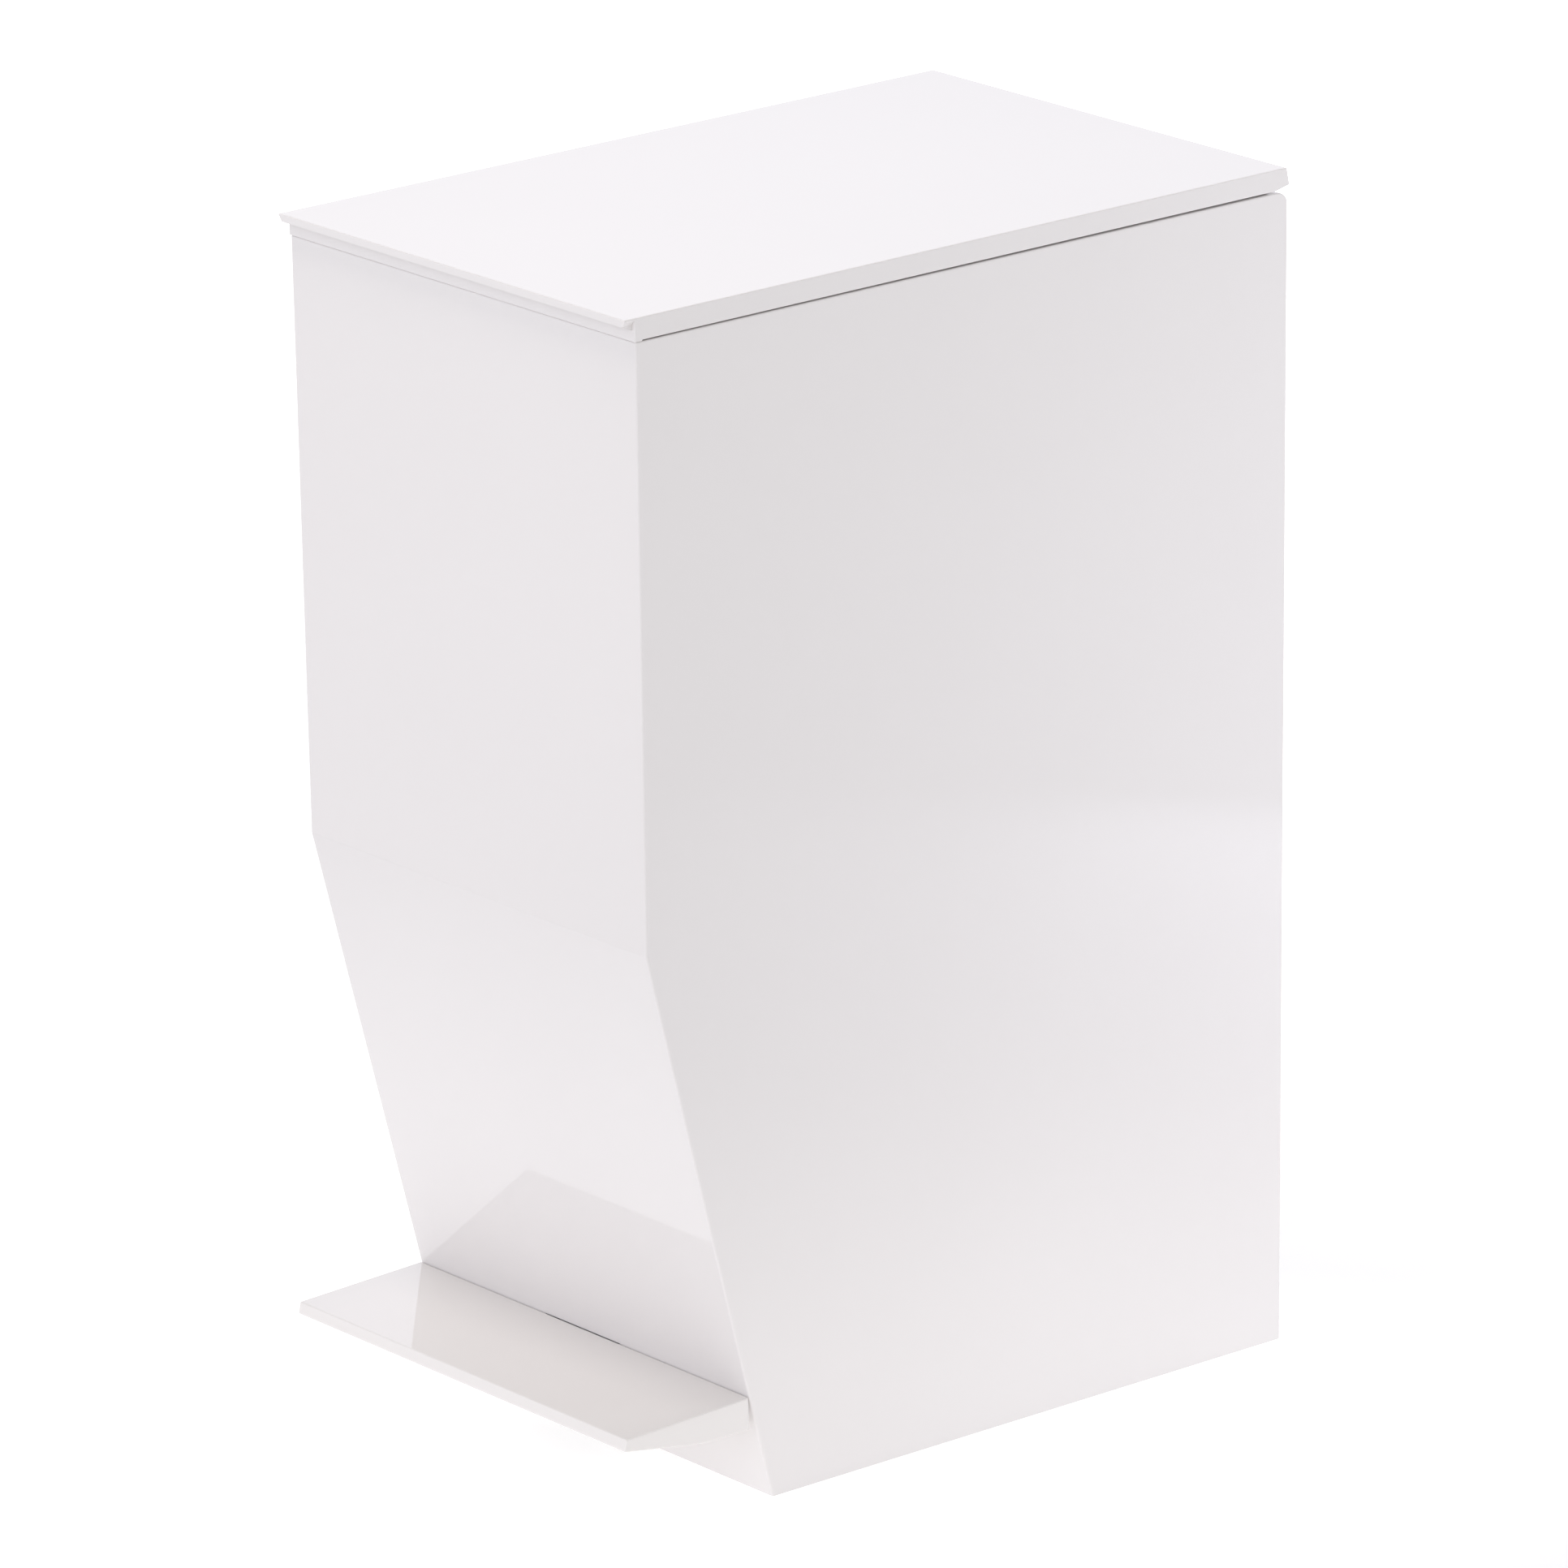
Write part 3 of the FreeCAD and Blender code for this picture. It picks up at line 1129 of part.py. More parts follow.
def floor_panel():
    """False floor that the bucket stands on, screwed to the base's posts."""
    body = new_body("floor_panel")
    front = front_at("dim.deck_low_z") + " + dim.wall + 0.7"
    back = rear_at("dim.deck_low_z") + " - dim.wall - 0.5"
    deck_start = ("-dim.deck_half", front, "dim.deck_low_z")
    block(body, "deck", deck_start, ("dim.deck_half", back, "dim.deck_top_z"))
    rod_hole = ("dim.rod_x", "dim.rod_y", "dim.deck_low_z - 1")
    bore(body, "rod_hole", "Z", rod_hole, "5", "dim.pin_radius + 1.5")
    for number, (x, y) in enumerate(POST_SPOTS):
        bore(body, f"deck_hole_{number}", "Z", (x, y, "dim.deck_low_z - 1"), "5", CLEAR_HOLE)
        recess = (x, y, f"dim.deck_top_z - {DECK_RECESS}")
        bore(body, f"deck_recess_{number}", "Z", recess, DECK_RECESS + 0.5, HEAD_RECESS)
    return body


def floor_screws():
    spots = [(x, y, f"dim.deck_top_z - {DECK_RECESS}") for x, y in POST_SPOTS]
    return screws("floor_screws", "-Z", spots, POST_THREAD_RADIUS, 11.0, 2.9, 1.4)


# ---------------------------------------------------------------- bucket

GRIP_HALF = 32.0
GRIP_LOW_Z = 318.0
GRIP_TOP_Z = 338.0
GRIP_DEPTH = 10.0
RIM_LIP = 1.6
RIM_DROP = 7.0


def bucket_form(label, inset):
    """The bucket's outer form, or with an inset the space inside it, open upwards."""
    body = new_body(label)
    top = "dim.bucket_top_z" if inset == "0" else "dim.bucket_top_z + 4"
    side = outline(
        body,
        label + "_side",
        "YZ_Plane",
        [
            (front_at("dim.bucket_low_z") + f" + 9 + {inset}", f"dim.bucket_low_z + {inset}"),
            (f"dim.bucket_rear_y - 2.5 - {inset}", f"dim.bucket_low_z + {inset}"),
            (f"dim.bucket_rear_y - {inset}", top),
            (f"dim.bucket_front_y + {inset}", top),
            (f"dim.bucket_front_y + 1 + {inset}", "dim.bend_z + 2"),
        ],
    )
    pad(body, side, "2 * dim.bucket_half + 4")
    low_half, high_half = f"dim.bucket_foot_half - {inset}", f"dim.bucket_half - {inset}"
    wedge_sides(body, label + "_taper", f"dim.bucket_low_z + {inset}", top, low_half, high_half)
    foot_z, top_z = value(f"dim.bucket_low_z + {inset}"), value(top)

    def is_upright(edge, middle):
        return runs_up(edge) and foot_z < middle.z < top_z

    soften(body, label + "_corners", is_upright, f"dim.bucket_corner - {inset}")

    def is_foot(edge, middle):
        return abs(middle.z - foot_z) < 0.05

    soften(body, label + "_foot", is_foot, f"5 - {inset}")
    return body


def inner_bucket():
    """Removable bucket: tapered and slanted like the shell, with a rim and grip holes."""
    outside = bucket_form("bucket_outside", "0")
    add_bucket_rim(outside)
    cutters = [bucket_form("bucket_inside", "dim.bucket_skin")]
    for name, y in (("front", "dim.bucket_front_y"), ("rear", "dim.bucket_rear_y")):
        grip = doc.addObject("Part::Box", f"{name}_grip")
        grip.Length = 2 * GRIP_HALF
        grip.Width = GRIP_DEPTH
        grip.Height = GRIP_TOP_Z - GRIP_LOW_Z
        place(grip, (-GRIP_HALF, f"{y} - {GRIP_DEPTH / 2}", GRIP_LOW_Z))
        cutters.append(grip)
    tool = doc.addObject("Part::MultiFuse", "bucket_cutters")
    tool.Shapes = cutters
    bucket = doc.addObject("Part::Cut", "inner_bucket")
    bucket.Label = "inner_bucket"
    bucket.Base = outside
    bucket.Tool = tool
    return bucket


def add_bucket_rim(body):
    """A flat rim round the mouth with a turned-down edge."""
    front, rear, half, rim = dims("bucket_front_y", "bucket_rear_y", "bucket_half", "bucket_rim")
    corner = value("dim.bucket_corner") + rim
    outside = rounded_loop(-half - rim, half + rim, front - rim, rear + rim, corner)
    thin = rim - RIM_LIP
    inside = rounded_loop(-half - thin, half + thin, front - thin, rear + thin, corner - RIM_LIP)
    plate = ("rim_plate", [outside], "dim.bucket_skin")
    lip = ("rim_lip", [outside, inside], str(RIM_DROP))
    for name, loops, height in (plate, lip):
        sketch = body.newObject("Sketcher::SketchObject", name)
        sketch.AttachmentSupport = (origin_plane(body, "XY_Plane"), [""])
        sketch.MapMode = "FlatFace"
        sketch.setExpression("AttachmentOffset.Base.z", "dim.bucket_top_z")
        for loop in loops:
            for curve in loop:
                sketch.addGeometry(curve)
        ring = body.newObject("PartDesign::Pad", name + "_pad")
        ring.Profile = sketch
        ring.Reversed = True
        ring.setExpression("Length", height)


def rounded_loop(left, right, front, rear, radius):
    """The lines and arcs of a rounded rectangle."""
    up = App.Vector(0, 0, 1)
    centres = [
        (right - radius, rear - radius, 0),
        (left + radius, rear - radius, 90),
        (left + radius, front + radius, 180),
        (right - radius, front + radius, 270),
    ]
    curves = []
    ends = []
    for x, y, start in centres:
        circle = Part.Circle(App.Vector(x, y, 0), up, radius)
        arc = Part.ArcOfCircle(circle, math.radians(start), math.radians(start + 90))
        curves.append(arc)
        ends.append((arc.StartPoint, arc.EndPoint))
    for n in range(4):
        curves.append(Part.LineSegment(ends[n][1], ends[(n + 1) % 4][0]))
    return curves


# ---------------------------------------------------------------- build and write

nodes = [
    outer_shell(),
    hinge_pin(),
    hinge_pin_plug(),
    rim_bumpers(),
    rod_guide("lower"),
    rod_guide("upper"),
    guide_screws(),
    rod_cover(),
    cover_screws(),
    base_plate(),
    base_screws(),
    rubber_feet(),
    pedal_axle(),
    axle_caps(),
    axle_cap_screws(),
    pedal_stop_pad(),
    floor_panel(),
    floor_screws(),
    lid_cover(),
    lid_frame(),
    lid_screws(),
    cam_lever(),
    cam_screws(),
    pedal_plate(),
    pedal_lever(),
    pedal_screws(),
    pedal_bushes(),
    lift_rod(),
    cam_shoe(),
    rod_clip(),
    inner_bucket(),
]
doc.recompute()

CUTTING = ("Pocket", "Groove", "SubtractiveBox", "SubtractiveCylinder")

for item in doc.Objects:
    if "Invalid" in item.State or "Error" in item.State:
        raise RuntimeError(f"{item.Label} failed: {item.State}")
    if item.TypeId.split("::")[-1] in CUTTING:
        if item.BaseFeature.Shape.Volume - item.Shape.Volume < 0.001:
            raise RuntimeError(f"{item.Label} cuts nothing")

os.makedirs("parts", exist_ok=True)
for node in nodes:
    shape = node.Shape
    if shape.isNull() or not shape.isValid() or not shape.Solids:
        raise RuntimeError(f"{node.Label} has no valid solid")
    shape.exportStep(f"parts/{node.Label}.step")
    print(node.Label, len(shape.Solids), round(shape.Volume), shape.BoundBox)
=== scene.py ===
import json
import math

import bmesh
import bpy
from mathutils import Matrix, Vector


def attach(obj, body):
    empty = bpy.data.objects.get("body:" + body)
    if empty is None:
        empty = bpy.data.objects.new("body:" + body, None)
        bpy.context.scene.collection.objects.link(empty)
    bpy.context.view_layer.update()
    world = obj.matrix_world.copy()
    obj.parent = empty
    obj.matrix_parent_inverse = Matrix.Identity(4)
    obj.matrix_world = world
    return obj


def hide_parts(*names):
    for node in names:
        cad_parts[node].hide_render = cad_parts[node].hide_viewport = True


# Looks of the slim pedal bin: glossy white shell, lid and pedal round satin inner parts.
# Metres, in the CAD frame: +X right, +Y to the back, +Z up, origin on the floor.

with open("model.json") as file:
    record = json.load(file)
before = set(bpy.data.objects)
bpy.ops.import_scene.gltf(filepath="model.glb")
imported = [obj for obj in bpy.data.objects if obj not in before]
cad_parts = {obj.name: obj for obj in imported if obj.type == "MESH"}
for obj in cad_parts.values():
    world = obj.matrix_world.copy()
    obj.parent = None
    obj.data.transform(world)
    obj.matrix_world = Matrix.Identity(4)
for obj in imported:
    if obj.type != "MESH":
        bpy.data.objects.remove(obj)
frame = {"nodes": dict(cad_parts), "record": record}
bpy.context.view_layer.update()
nodes = frame["nodes"]

MM = 0.001


# ---------------------------------------------------------------- node helpers


class Finish:
    """One procedural material, built round its Principled shader."""

    def __init__(self, name, roughness, **sockets):
        self.material = bpy.data.materials.new(name)
        self.material.use_nodes = True
        self.tree = self.material.node_tree
        self.shader = self.tree.nodes["Principled BSDF"]
        self.shader.inputs["Roughness"].default_value = roughness
        for socket, number in sockets.items():
            self.shader.inputs[socket.replace("_", " ")].default_value = number
        self.place = self.add("ShaderNodeTexCoord").outputs["Object"]

    def add(self, kind, **settings):
        node = self.tree.nodes.new(kind)
        for key, setting in settings.items():
            setattr(node, key, setting)
        return node

    def link(self, source, target):
        self.tree.links.new(source, target)

    def stretched(self, scale, turn=(0, 0, 0)):
        """The object's coordinates, scaled by axis and turned."""
        mapping = self.add("ShaderNodeMapping")
        mapping.inputs["Scale"].default_value = scale
        mapping.inputs["Rotation"].default_value = turn
        self.link(self.place, mapping.inputs["Vector"])
        return mapping.outputs["Vector"]

    def noise(self, per_metre, detail=2.0, rough=0.5, distortion=0.0, where=None):
        """Noise of so many waves a metre."""
        texture = self.add("ShaderNodeTexNoise")
        texture.inputs["Scale"].default_value = per_metre
        texture.inputs["Detail"].default_value = detail
        texture.inputs["Roughness"].default_value = rough
        texture.inputs["Distortion"].default_value = distortion
        self.link(where or self.place, texture.inputs["Vector"])
        return texture.outputs["Fac"]

    def cells(self, per_metre, where=None):
        """Distance to the nearest of scattered points, so many a metre."""
        texture = self.add("ShaderNodeTexVoronoi")
        texture.inputs["Scale"].default_value = per_metre
        self.link(where or self.place, texture.inputs["Vector"])
        return texture.outputs["Distance"]

    def band(self, source, low, high, bottom=0.0, top=1.0):
        """Source between low and high, spread over bottom to top."""
        ranged = self.add("ShaderNodeMapRange")
        for socket, number in zip(
            ("From Min", "From Max", "To Min", "To Max"), (low, high, bottom, top)
        ):
            ranged.inputs[socket].default_value = number
        self.link(source, ranged.inputs["Value"])
        return ranged.outputs["Result"]

    def math(self, operation, one, other):
        node = self.add("ShaderNodeMath", operation=operation)
        for socket, term in zip(node.inputs, (one, other)):
            if isinstance(term, (int, float)):
                socket.default_value = term
            else:
                self.link(term, socket)
        return node.outputs["Value"]

    def blend(self, share, one, other):
        """Two colours, or colour outputs, mixed by share."""
        mix = self.add("ShaderNodeMix", data_type="RGBA")
        self.link(share, mix.inputs["Factor"])
        for socket, term in zip((mix.inputs[6], mix.inputs[7]), (one, other)):
            if isinstance(term, (tuple, list)):
                socket.default_value = (*term, 1.0)
            else:
                self.link(term, socket)
        return mix.outputs[2]

    def relief(self, height, depth, below=None):
        """Bump of a height from 0 to 1 that is depth metres deep."""
        bump = self.add("ShaderNodeBump")
        bump.inputs["Strength"].default_value = 1.0
        bump.inputs["Distance"].default_value = depth
        self.link(height, bump.inputs["Height"])
        if below is not None:
            self.link(below, bump.inputs["Normal"])
        return bump.outputs["Normal"]

    def done(self, colour=None, roughness=None, normal=None):
        pairs = (("Base Color", colour), ("Roughness", roughness), ("Normal", normal))
        for socket, source in pairs:
            if source is not None:
                self.link(source, self.shader.inputs[socket])
        return self.material


# ---------------------------------------------------------------- finishes


def gloss_plastic(name, white, shade, worn=0.0):
    """Polished moulded plastic: long faint waves, fine orange peel, hairlines and smudges."""
    f = Finish(name, 0.1, IOR=1.52, Specular_IOR_Level=0.62)
    colour = f.blend(f.band(f.noise(7, 3), 0.35, 0.65), white, shade)
    smudge = f.band(f.noise(21, 4, 0.55, 0.4), 0.35, 0.75, 0.02, 0.05 + 0.1 * worn)
    hairline = f.noise(240, 2, where=f.stretched((0.05, 1.0, 1.0), (0.3, 0.2, 0.9)))
    hairlines = f.band(hairline, 0.66, 0.72, 0.0, 0.03 + 0.14 * worn)
    rough = f.math("ADD", smudge, hairlines)
    waves = f.relief(f.noise(11, 1), 0.016 * MM)
    peel = f.relief(f.noise(620, 2), 0.00022 * MM, waves)
    return f.done(colour, rough, peel)


def satin_plastic(name, base, shade, grain=900, depth=0.006, rough=(0.36, 0.5)):
    """Eroded-steel mould texture with faint flow streaks down the part."""
    f = Finish(name, 0.42, IOR=1.49)
    streaks = f.noise(16, 4, 0.6, where=f.stretched((1.0, 1.0, 0.18)))
    colour = f.blend(f.band(streaks, 0.3, 0.7), base, shade)
    patches = f.band(f.noise(34, 3, 0.6), 0.3, 0.7, *rough)
    pits = f.relief(f.cells(grain), depth * MM)
    grains = f.relief(f.noise(grain * 2.1, 2), depth * 0.5 * MM, pits)
    return f.done(colour, patches, grains)


def wire_steel(name, along="Z"):
    """Zinc-plated drawn steel: fine lines along the wire over a cloudy plating."""
    f = Finish(name, 0.3, Metallic=1.0)
    squeeze = {"X": (0.03, 1, 1), "Y": (1, 0.03, 1), "Z": (1, 1, 0.03)}[along]
    lines = f.noise(2600, 3, 0.6, where=f.stretched(squeeze))
    clouds = f.noise(90, 4, 0.6, 0.3)
    colour = f.blend(f.band(clouds, 0.3, 0.7), (0.56, 0.57, 0.60), (0.70, 0.69, 0.66))
    rough = f.math("ADD", f.band(lines, 0.3, 0.7, 0.16, 0.3), f.band(clouds, 0.4, 0.7, 0.0, 0.1))
    return f.done(colour, rough, f.relief(lines, 0.002 * MM))


def plated_steel(name):
    """Zinc-plated screw steel: cloudy, with fine scuffs from the driver."""
    f = Finish(name, 0.3, Metallic=1.0)
    clouds = f.noise(420, 4, 0.6, 0.4)
    scuffs = f.noise(5200, 2, where=f.stretched((1.0, 0.12, 0.5), (0.4, 0.0, 0.7)))
    colour = f.blend(f.band(clouds, 0.3, 0.7), (0.52, 0.53, 0.56), (0.68, 0.67, 0.64))
    rough = f.math("ADD", f.band(clouds, 0.3, 0.7, 0.20, 0.34), f.band(scuffs, 0.5, 0.7, 0.0, 0.12))
    return f.done(colour, rough, f.relief(scuffs, 0.001 * MM))


def soft_rubber(name):
    """Matt black rubber with a fine grain and a trace of dust."""
    f = Finish(name, 0.8, IOR=1.5)
    dust = f.band(f.noise(140, 5, 0.65), 0.45, 0.8)
    colour = f.blend(dust, (0.028, 0.028, 0.030), (0.085, 0.083, 0.080))
    rough = f.band(dust, 0.0, 1.0, 0.62, 0.88)
    grain = f.relief(f.cells(1500), 0.012 * MM)
    return f.done(colour, rough, grain)


def cast_nylon(name):
    """Natural nylon: faintly mottled, waxy."""
    f = Finish(name, 0.35, IOR=1.53, Subsurface_Weight=0.12, Subsurface_Scale=0.002)
    f.shader.inputs["Subsurface Radius"].default_value = (1.0, 0.8, 0.6)
    colour = f.blend(f.band(f.noise(120, 3), 0.3, 0.7), (0.74, 0.72, 0.64), (0.80, 0.79, 0.73))
    rough = f.band(f.noise(260, 3, 0.6), 0.3, 0.7, 0.3, 0.46)
    return f.done(colour, rough, f.relief(f.noise(1400, 2), 0.003 * MM))


BODY_WHITE, BODY_SHADE = (0.84, 0.81, 0.80), (0.83, 0.80, 0.79)
SHELL = gloss_plastic("shell_gloss", BODY_WHITE, BODY_SHADE)
LID = gloss_plastic("lid_gloss", BODY_WHITE, BODY_SHADE)
PEDAL = gloss_plastic("pedal_gloss", (0.84, 0.81, 0.79), (0.83, 0.80, 0.78), worn=0.4)
INNER = satin_plastic("inner_satin", (0.78, 0.78, 0.77), (0.74, 0.74, 0.73))
BUCKET = satin_plastic("bucket_satin", (0.42, 0.43, 0.44), (0.39, 0.40, 0.41), 700, 0.009)
NYLON = cast_nylon("nylon_natural")
STEEL_UP = wire_steel("steel_upright", "Z")
STEEL_ACROSS = wire_steel("steel_across", "X")
PLATED = plated_steel("steel_plated")
RUBBER = soft_rubber("rubber_matt")

FINISHES = {
    "outer_shell": SHELL,
    "hinge_pin_plug": SHELL,
    "lid_cover": LID,
    "pedal_plate": PEDAL,
    "inner_bucket": BUCKET,
    "hinge_pin": STEEL_ACROSS,
    "pedal_axle": STEEL_ACROSS,
}
BY_SLOT = {
    "inner_white": INNER,
    "nylon": NYLON,
    "steel": STEEL_UP,
    "rubber": RUBBER,
}
SLOT_OF = {part["node"]: part["material_slot"] for part in frame["record"]["subparts"]}

for name, node in nodes.items():
    finish = FINISHES.get(name) or BY_SLOT[SLOT_OF[name]]
    node.data.materials.clear()
    node.data.materials.append(finish)


# ---------------------------------------------------------------- screws

# Which way each group of screws points into the work.
SCREWS = {
    "lid_screws": (0, 0, 1),
    "cam_screws": (0, 0, 1),
    "pedal_screws": (0, 0, 1),
    "base_screws": (0, 0, 1),
    "guide_screws": (0, 1, 0),
    "cover_screws": (0, 1, 0),
    "axle_cap_screws": (0, 0, -1),
    "floor_screws": (0, 0, -1),
}
THREAD_PITCH = 0.9 * MM
THREAD_ROOT = 0.76
TURNED_SIDES = 40


def solids_of(node):
    """The corner points of each separate solid of a CAD node."""
    form = bmesh.new()
    form.from_mesh(node.data)
    bmesh.ops.remove_doubles(form, verts=form.verts, dist=0.001 * MM)
    form.verts.index_update()
    seen = set()
    found = []
    for first in form.verts:
        if first.index in seen:
            continue
        seen.add(first.index)
        queue, points = [first], []
        while queue:
            vert = queue.pop()
            points.append(vert.co.copy())
            for edge in vert.link_edges:
                other = edge.other_vert(vert)
                if other.index not in seen:
                    seen.add(other.index)
                    queue.append(other)
        found.append(points)
    form.free()
    return found


def screw_sizes(points, into):
    """Of a plain CAD screw: the spot under its head, then the radius and height of its
    head and the radius and length of its shank."""
    depths = [point.dot(into) for point in points]
    spans = [[point[n] for point in points] for n in range(3)]
    middle = Vector([(max(span) + min(span)) / 2 for span in spans])
    gaps = [(point - middle - (point - middle).dot(into) * into).length for point in points]
    head = max(gaps)
    seat = max(depth for depth, gap in zip(depths, gaps) if gap > 0.95 * head)
    tip = max(depths)
    shank = max(gap for depth, gap in zip(depths, gaps) if depth > tip - 0.1 * MM)
    spot = middle + (seat - middle.dot(into)) * into
    return spot, (head, seat - min(depths), shank, tip - seat)


def turned(profile):
    """A form turned about Z from (radius, height) points, top to bottom."""
    form = bmesh.new()
    rings = []
    for radius, height in profile:
        count = TURNED_SIDES if radius else 1
        angles = [2 * math.pi * n / count for n in range(count)]
        spots = [(radius * math.cos(a), radius * math.sin(a), height) for a in angles]
        rings.append([form.verts.new(spot) for spot in spots])
    for upper, lower in zip(rings, rings[1:]):
        for n in range(TURNED_SIDES):
            after = (n + 1) % TURNED_SIDES
            quad = [upper[n % len(upper)], lower[n % len(lower)]]
            quad += [lower[after % len(lower)], upper[after % len(upper)]]
            form.faces.new(list(dict.fromkeys(quad)))
    bmesh.ops.recalc_face_normals(form, faces=form.faces)
    return form


def cross_recess(reach, half, top, bottom):
    """A cross-shaped driver's recess, narrower at its bottom."""
    form = bmesh.new()
    corners = [(reach, -half), (reach, half), (half, half)]
    rings = []
    for height, share in ((top, 1.0), (bottom, 0.55)):
        ring = []
        for quarter in range(4):
            spin = Matrix.Rotation(quarter * math.pi / 2, 2)
            for x, y in corners:
                flat = spin @ Vector((x * share, y * (0.6 + 0.4 * share)))
                ring.append(form.verts.new((flat.x, flat.y, height)))
        rings.append(ring)
    upper, lower = rings
    form.faces.new(upper)
    form.faces.new(lower[::-1])
    count = len(upper)
    for n in range(count):
        after = (n + 1) % count
        form.faces.new([upper[n], lower[n], lower[after], upper[after]])
    bmesh.ops.recalc_face_normals(form, faces=form.faces)
    return form


def as_object(name, form):
    mesh = bpy.data.meshes.new(name)
    form.to_mesh(mesh)
    form.free()
    made = bpy.data.objects.new(name, mesh)
    bpy.context.scene.collection.objects.link(made)
    return made


def screw_mesh(head, height, shank, length):
    """A pan-head screw under the origin, with its recess and the ridges of its thread."""
    dome = [(0, 1.0), (0.50, 0.98), (0.74, 0.90), (0.90, 0.70), (0.98, 0.42), (1.0, 0.12)]
    profile = [(across * head, up * height) for across, up in dome]
    profile += [(0.985 * head, 0), (shank, 0)]
    depth = 0.6 * MM
    while depth < length - 1.4 * MM:
        profile += [(0.98 * shank, -depth), (THREAD_ROOT * shank, -depth - 0.3 * THREAD_PITCH)]
        profile += [(THREAD_ROOT * shank, -depth - 0.6 * THREAD_PITCH)]
        depth += THREAD_PITCH
    profile += [(THREAD_ROOT * shank, -length + 0.9 * MM), (0.3 * shank, -length), (0, -length)]
    blank = as_object("screw_blank", turned(profile))
    recess = cross_recess(0.58 * head, 0.13 * head, height + 0.2 * MM, 0.3 * height)
    cutter = as_object("screw_cutter", recess)
    cut = blank.modifiers.new("recess", "BOOLEAN")
    cut.operation = "DIFFERENCE"
    cut.solver = "EXACT"
    cut.object = cutter
    shapes = bpy.context.evaluated_depsgraph_get()
    mesh = bpy.data.meshes.new_from_object(blank.evaluated_get(shapes))
    for used in (blank, cutter):
        old = used.data
        bpy.data.objects.remove(used)
        bpy.data.meshes.remove(old)
    mesh.shade_smooth()
    mesh.set_sharp_from_angle(angle=math.radians(35))
    return mesh


def real_screws(name, into):
    """Pan-head screws in the place of a CAD node's plain ones."""
    into = Vector(into)
    swing = Vector((0, 0, -1)).rotation_difference(into).to_matrix().to_4x4()
    form = bmesh.new()
    shape, last = None, None
    for number, points in enumerate(solids_of(nodes[name])):
        spot, sizes = screw_sizes(points, into)
        if shape is None or max(abs(a - b) for a, b in zip(sizes, last)) > 0.01 * MM:
            shape, last = screw_mesh(*sizes), sizes
        one = shape.copy()
        driven = Matrix.Rotation(1.1 * number + 0.4, 4, "Z")
        one.transform(Matrix.Translation(spot) @ swing @ driven)
        form.from_mesh(one)
        bpy.data.meshes.remove(one)
    made = as_object("driven_" + name, form)
    made.data.materials.append(PLATED)
    body = next(b for b, held in frame["record"]["behaviour"]["bodies"].items() if name in held)
    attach(made, body)
    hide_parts(name)


for name, into in SCREWS.items():
    real_screws(name, into)

# ---------------------------------------------------------------- studio


def plane(name, half, material):
    form = bmesh.new()
    bmesh.ops.create_grid(form, x_segments=1, y_segments=1, size=half)
    made = as_object(name, form)
    made.data.materials.append(material)
    return made


FLOOR_HALF = 40.0
# Keeps the power of a lobe's share defined behind the lobe.
NEARLY_DARK = 0.0001

WHITE = (1.0, 1.0, 1.0)
COOL = (0.86, 0.88, 1.0)
WARM = (1.0, 0.93, 0.86)

# Pools of light painted on the floor, glowing in its emission and lighting the bin: centre,
# radius of the even part, radius where it ends, strength, tint. The last one is inside out:
# it starts away from the bin and is even from there outwards.
PAINTED_LIGHT_POOLS = {
    "under_bin": ((0.0, -0.05, 0.0), 0.18, 0.42, 0.43, WHITE),
    "right_floor": ((0.17, 0.27, 0.0), 0.05, 0.22, 0.12, WARM),
    "left_floor": ((-0.42, 0.05, 0.0), 0.14, 0.36, 0.33, WHITE),
    "back_floor": ((-0.16, 0.50, 0.0), 0.16, 0.38, 0.55, WARM),
    "far_back": ((-1.60, 1.30, 0.0), 0.9, 1.8, 0.56, WHITE),
    "far_floor": ((0.0, 0.0, 0.0), 1.0, 0.5, 0.28, WHITE),
}

# Soft bright parts of the room: direction, tightness, strength, tint.
ROOM = {
    "all_round": ((0.0, 0.0, 1.0), 0.0, 0.12, WHITE),
    "backdrop": ((-0.74, 0.60, 0.30), 6.0, 0.92, COOL),
    "behind_camera": ((0.70, -0.65, 0.30), 3.0, 0.97, WHITE),
    "front": ((0.0, -1.0, 0.25), 5.0, 1.3, COOL),
    "rear_wall": ((0.0, 1.0, 0.10), 2.0, 0.5, WHITE),
    "left_wall": ((-1.0, 0.0, 0.10), 2.0, 0.5, WHITE),
}


def sum_of_tints(tree, shares):
    """Tints times their strengths and shares, added up; each node is named for its part."""
    total = None
    for name, share, strength, tint in shares:
        glow = tree.nodes.new("ShaderNodeVectorMath")
        glow.operation = "SCALE"
        glow.name = name
        glow.inputs[0].default_value = [strength * part for part in tint]
        tree.links.new(share, glow.inputs["Scale"])
        if total is None:
            total = glow.outputs["Vector"]
            continue
        both = tree.nodes.new("ShaderNodeVectorMath")
        both.operation = "ADD"
        tree.links.new(total, both.inputs[0])
        tree.links.new(glow.outputs["Vector"], both.inputs[1])
        total = both.outputs["Vector"]
    return total


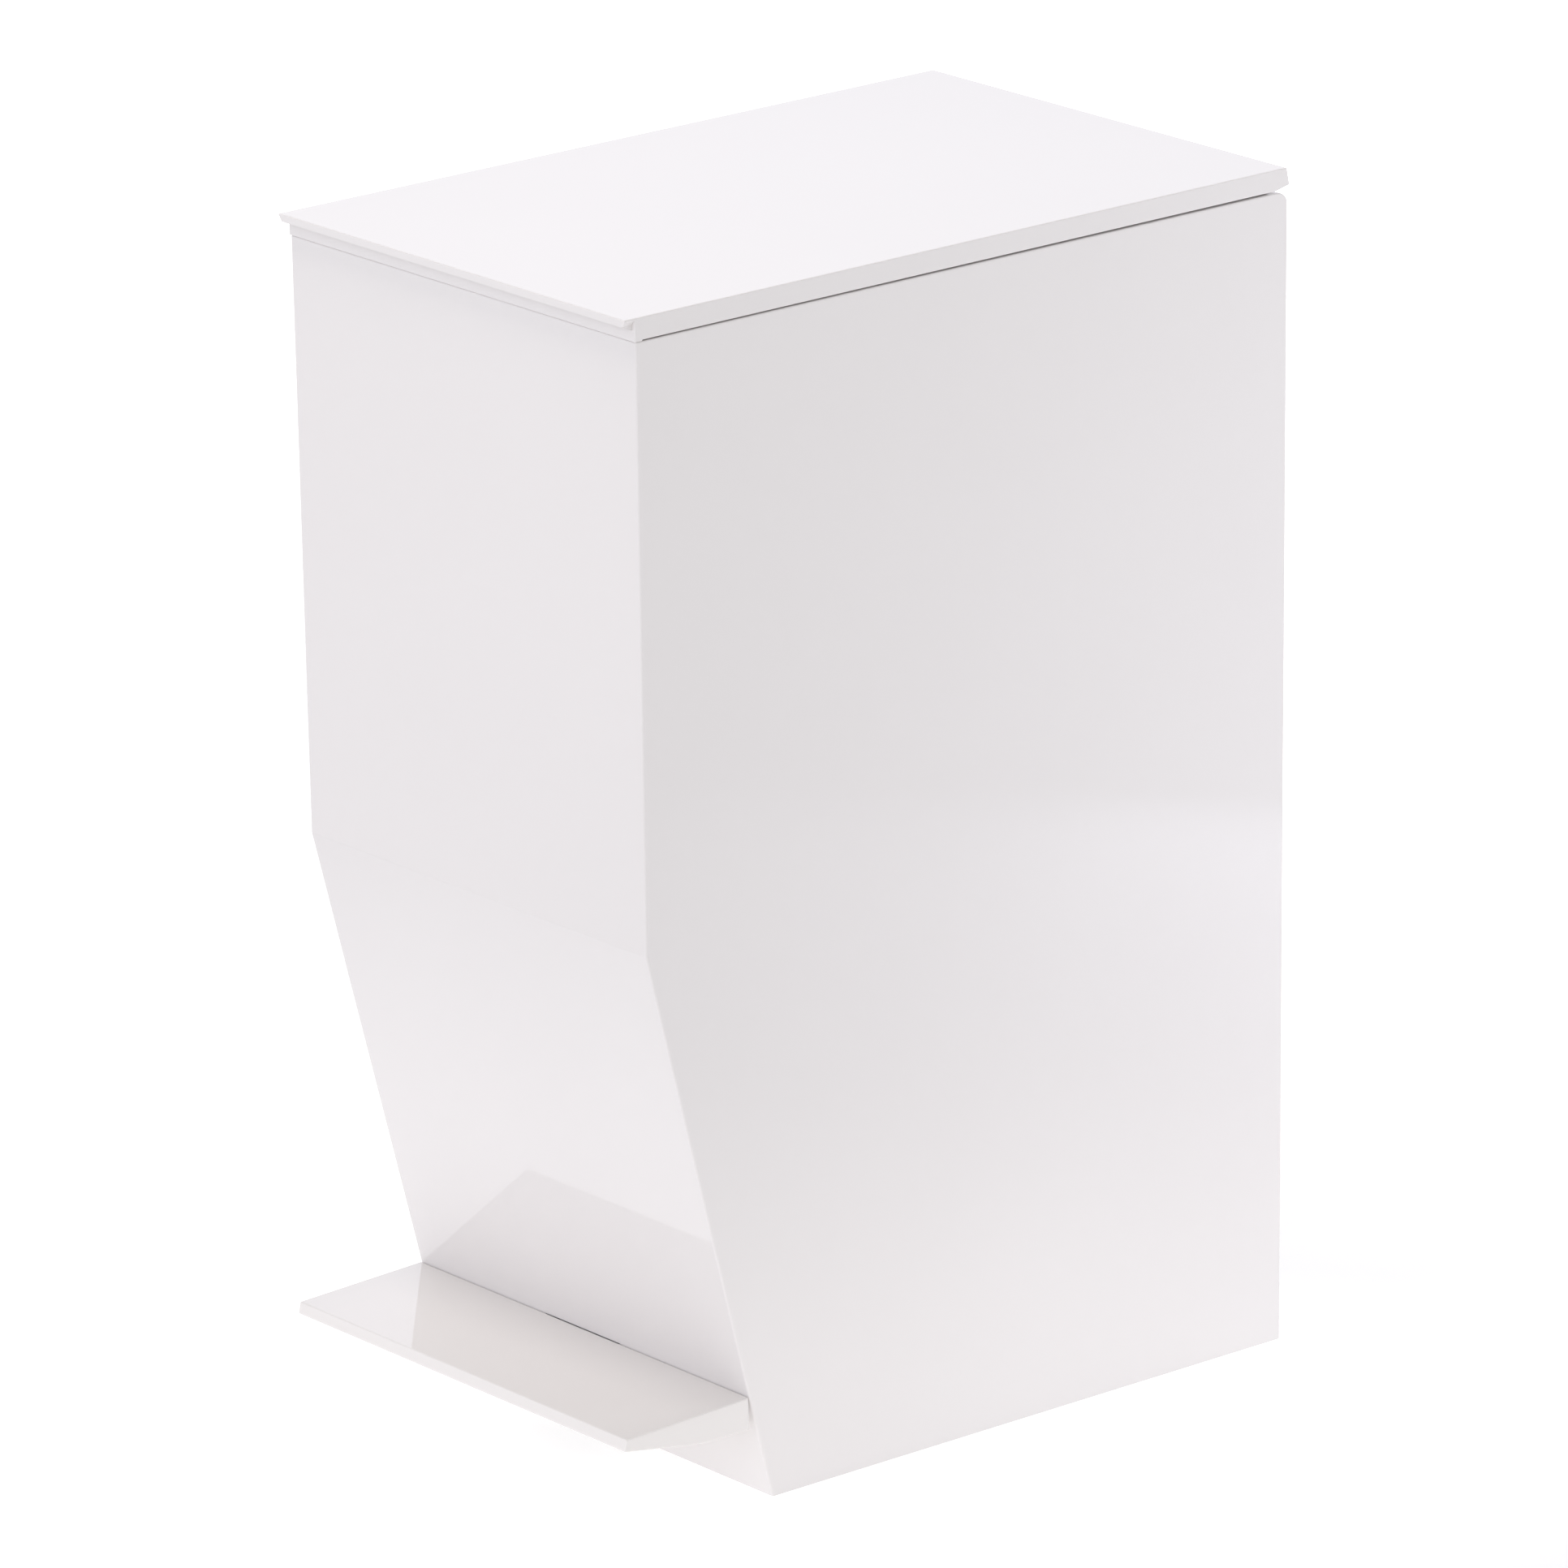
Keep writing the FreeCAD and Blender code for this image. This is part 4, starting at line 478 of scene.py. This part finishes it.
def floor_painted_light():
    """White paper with painted light: it glows in soft pools, as an overexposed sweep looks, though
    it is no lamp.
    """
    f = Finish("floor_painted_light", 0.9)
    f.shader.inputs["Specular IOR Level"].default_value = 0.1
    f.shader.inputs["Emission Strength"].default_value = 1.0
    shares = []
    for name, (centre, even, end, strength, tint) in PAINTED_LIGHT_POOLS.items():
        gap = f.add("ShaderNodeVectorMath", operation="DISTANCE")
        gap.inputs[1].default_value = centre
        f.link(f.place, gap.inputs[0])
        share = f.band(gap.outputs["Value"], even, end, 1.0, 0.0)
        shares.append((name, share, strength, tint))
    # Painted light: the pools glow in the floor's emission and light the bin, though the floor is
    # no lamp.
    f.link(sum_of_tints(f.tree, shares), f.shader.inputs["Emission Color"])
    return f.done(f.blend(f.noise(3, 2), (0.86, 0.86, 0.86), (0.88, 0.88, 0.88)))


def room_light():
    """A world of a few soft lobes of light, added up."""
    world = bpy.data.worlds.new("studio")
    bpy.context.scene.world = world
    world.use_nodes = True
    tree = world.node_tree
    look = tree.nodes.new("ShaderNodeTexCoord").outputs["Generated"]
    shares = []
    for name, (direction, tightness, strength, tint) in ROOM.items():
        dot = tree.nodes.new("ShaderNodeVectorMath")
        dot.operation = "DOT_PRODUCT"
        dot.inputs[1].default_value = Vector(direction).normalized()
        tree.links.new(look, dot.inputs[0])
        ahead = tree.nodes.new("ShaderNodeMath")
        ahead.operation = "MAXIMUM"
        tree.links.new(dot.outputs["Value"], ahead.inputs[0])
        ahead.inputs[1].default_value = NEARLY_DARK
        lobe = tree.nodes.new("ShaderNodeMath")
        lobe.operation = "POWER"
        tree.links.new(ahead.outputs[0], lobe.inputs[0])
        lobe.inputs[1].default_value = tightness
        shares.append((name, lobe.outputs[0], strength, tint))
    tree.links.new(sum_of_tints(tree, shares), tree.nodes["Background"].inputs["Color"])


def soft_light(name, spot, target, size, power, tint):
    """A softbox that the camera doesn't see."""
    light = bpy.data.lights.new(name, "AREA")
    light.shape = "RECTANGLE"
    light.size, light.size_y = size
    light.energy = power
    light.color = tint
    made = bpy.data.objects.new(name, light)
    made.visible_camera = False
    made.visible_glossy = False
    bpy.context.scene.collection.objects.link(made)
    aim = Vector(target) - Vector(spot)
    facing = aim.to_track_quat("-Z", "Y").to_matrix().to_4x4()
    made.matrix_world = Matrix.Translation(spot) @ facing


# The floor carries painted pools of light in its glow.
floor = plane("floor", FLOOR_HALF, floor_painted_light())
room_light()
soft_light("high_front", (0.0, -0.45, 1.6), (0, -0.11, 0.03), (0.4, 0.4), 5.2, WARM)
soft_light("right_rear", (0.42, 0.50, 0.16), (0.08, 0.12, 0.08), (0.25, 0.25), 0.7, COOL)
soft_light("right_far", (1.0, 0.9, 0.7), (0.08, 0.10, 0.15), (0.8, 0.8), 1.4, WHITE)

# ---------------------------------------------------------------- camera

# FOCAL in millimetres on a 36 mm sensor; the camera stands DISTANCE back from ON_AXIS along
# its view, then ASIDE and UP in its own picture plane.
FOCAL = 268.1
SENSOR = 36.0
AZIMUTH, ELEVATION, ROLL = (math.radians(a) for a in (50.89, 17.62, -1.01))
DISTANCE, ASIDE, UP = 3.5860, -0.0083, 0.1780
ON_AXIS = Vector((0.0, 0.0054, 0.0006))

back = Vector(
    (
        math.sin(AZIMUTH) * math.cos(ELEVATION),
        -math.cos(AZIMUTH) * math.cos(ELEVATION),
        math.sin(ELEVATION),
    )
)
level = Vector((math.cos(AZIMUTH), math.sin(AZIMUTH), 0.0))
upright = back.cross(level)
right = math.cos(ROLL) * level + math.sin(ROLL) * upright
top = math.cos(ROLL) * upright - math.sin(ROLL) * level
camera_data = bpy.data.cameras.new("camera")
camera_data.lens = FOCAL
camera_data.sensor_width = SENSOR
camera_data.clip_start = 0.1
camera_data.clip_end = 200.0
camera = bpy.data.objects.new("camera", camera_data)
bpy.context.scene.collection.objects.link(camera)
turn = Matrix((right, top, back)).transposed().to_4x4()
spot = back * DISTANCE + right * ASIDE + top * UP + ON_AXIS
camera.matrix_world = Matrix.Translation(spot) @ turn
bpy.context.scene.camera = camera
bpy.context.scene.view_settings.view_transform = "Standard"

bpy.context.view_layer.update()
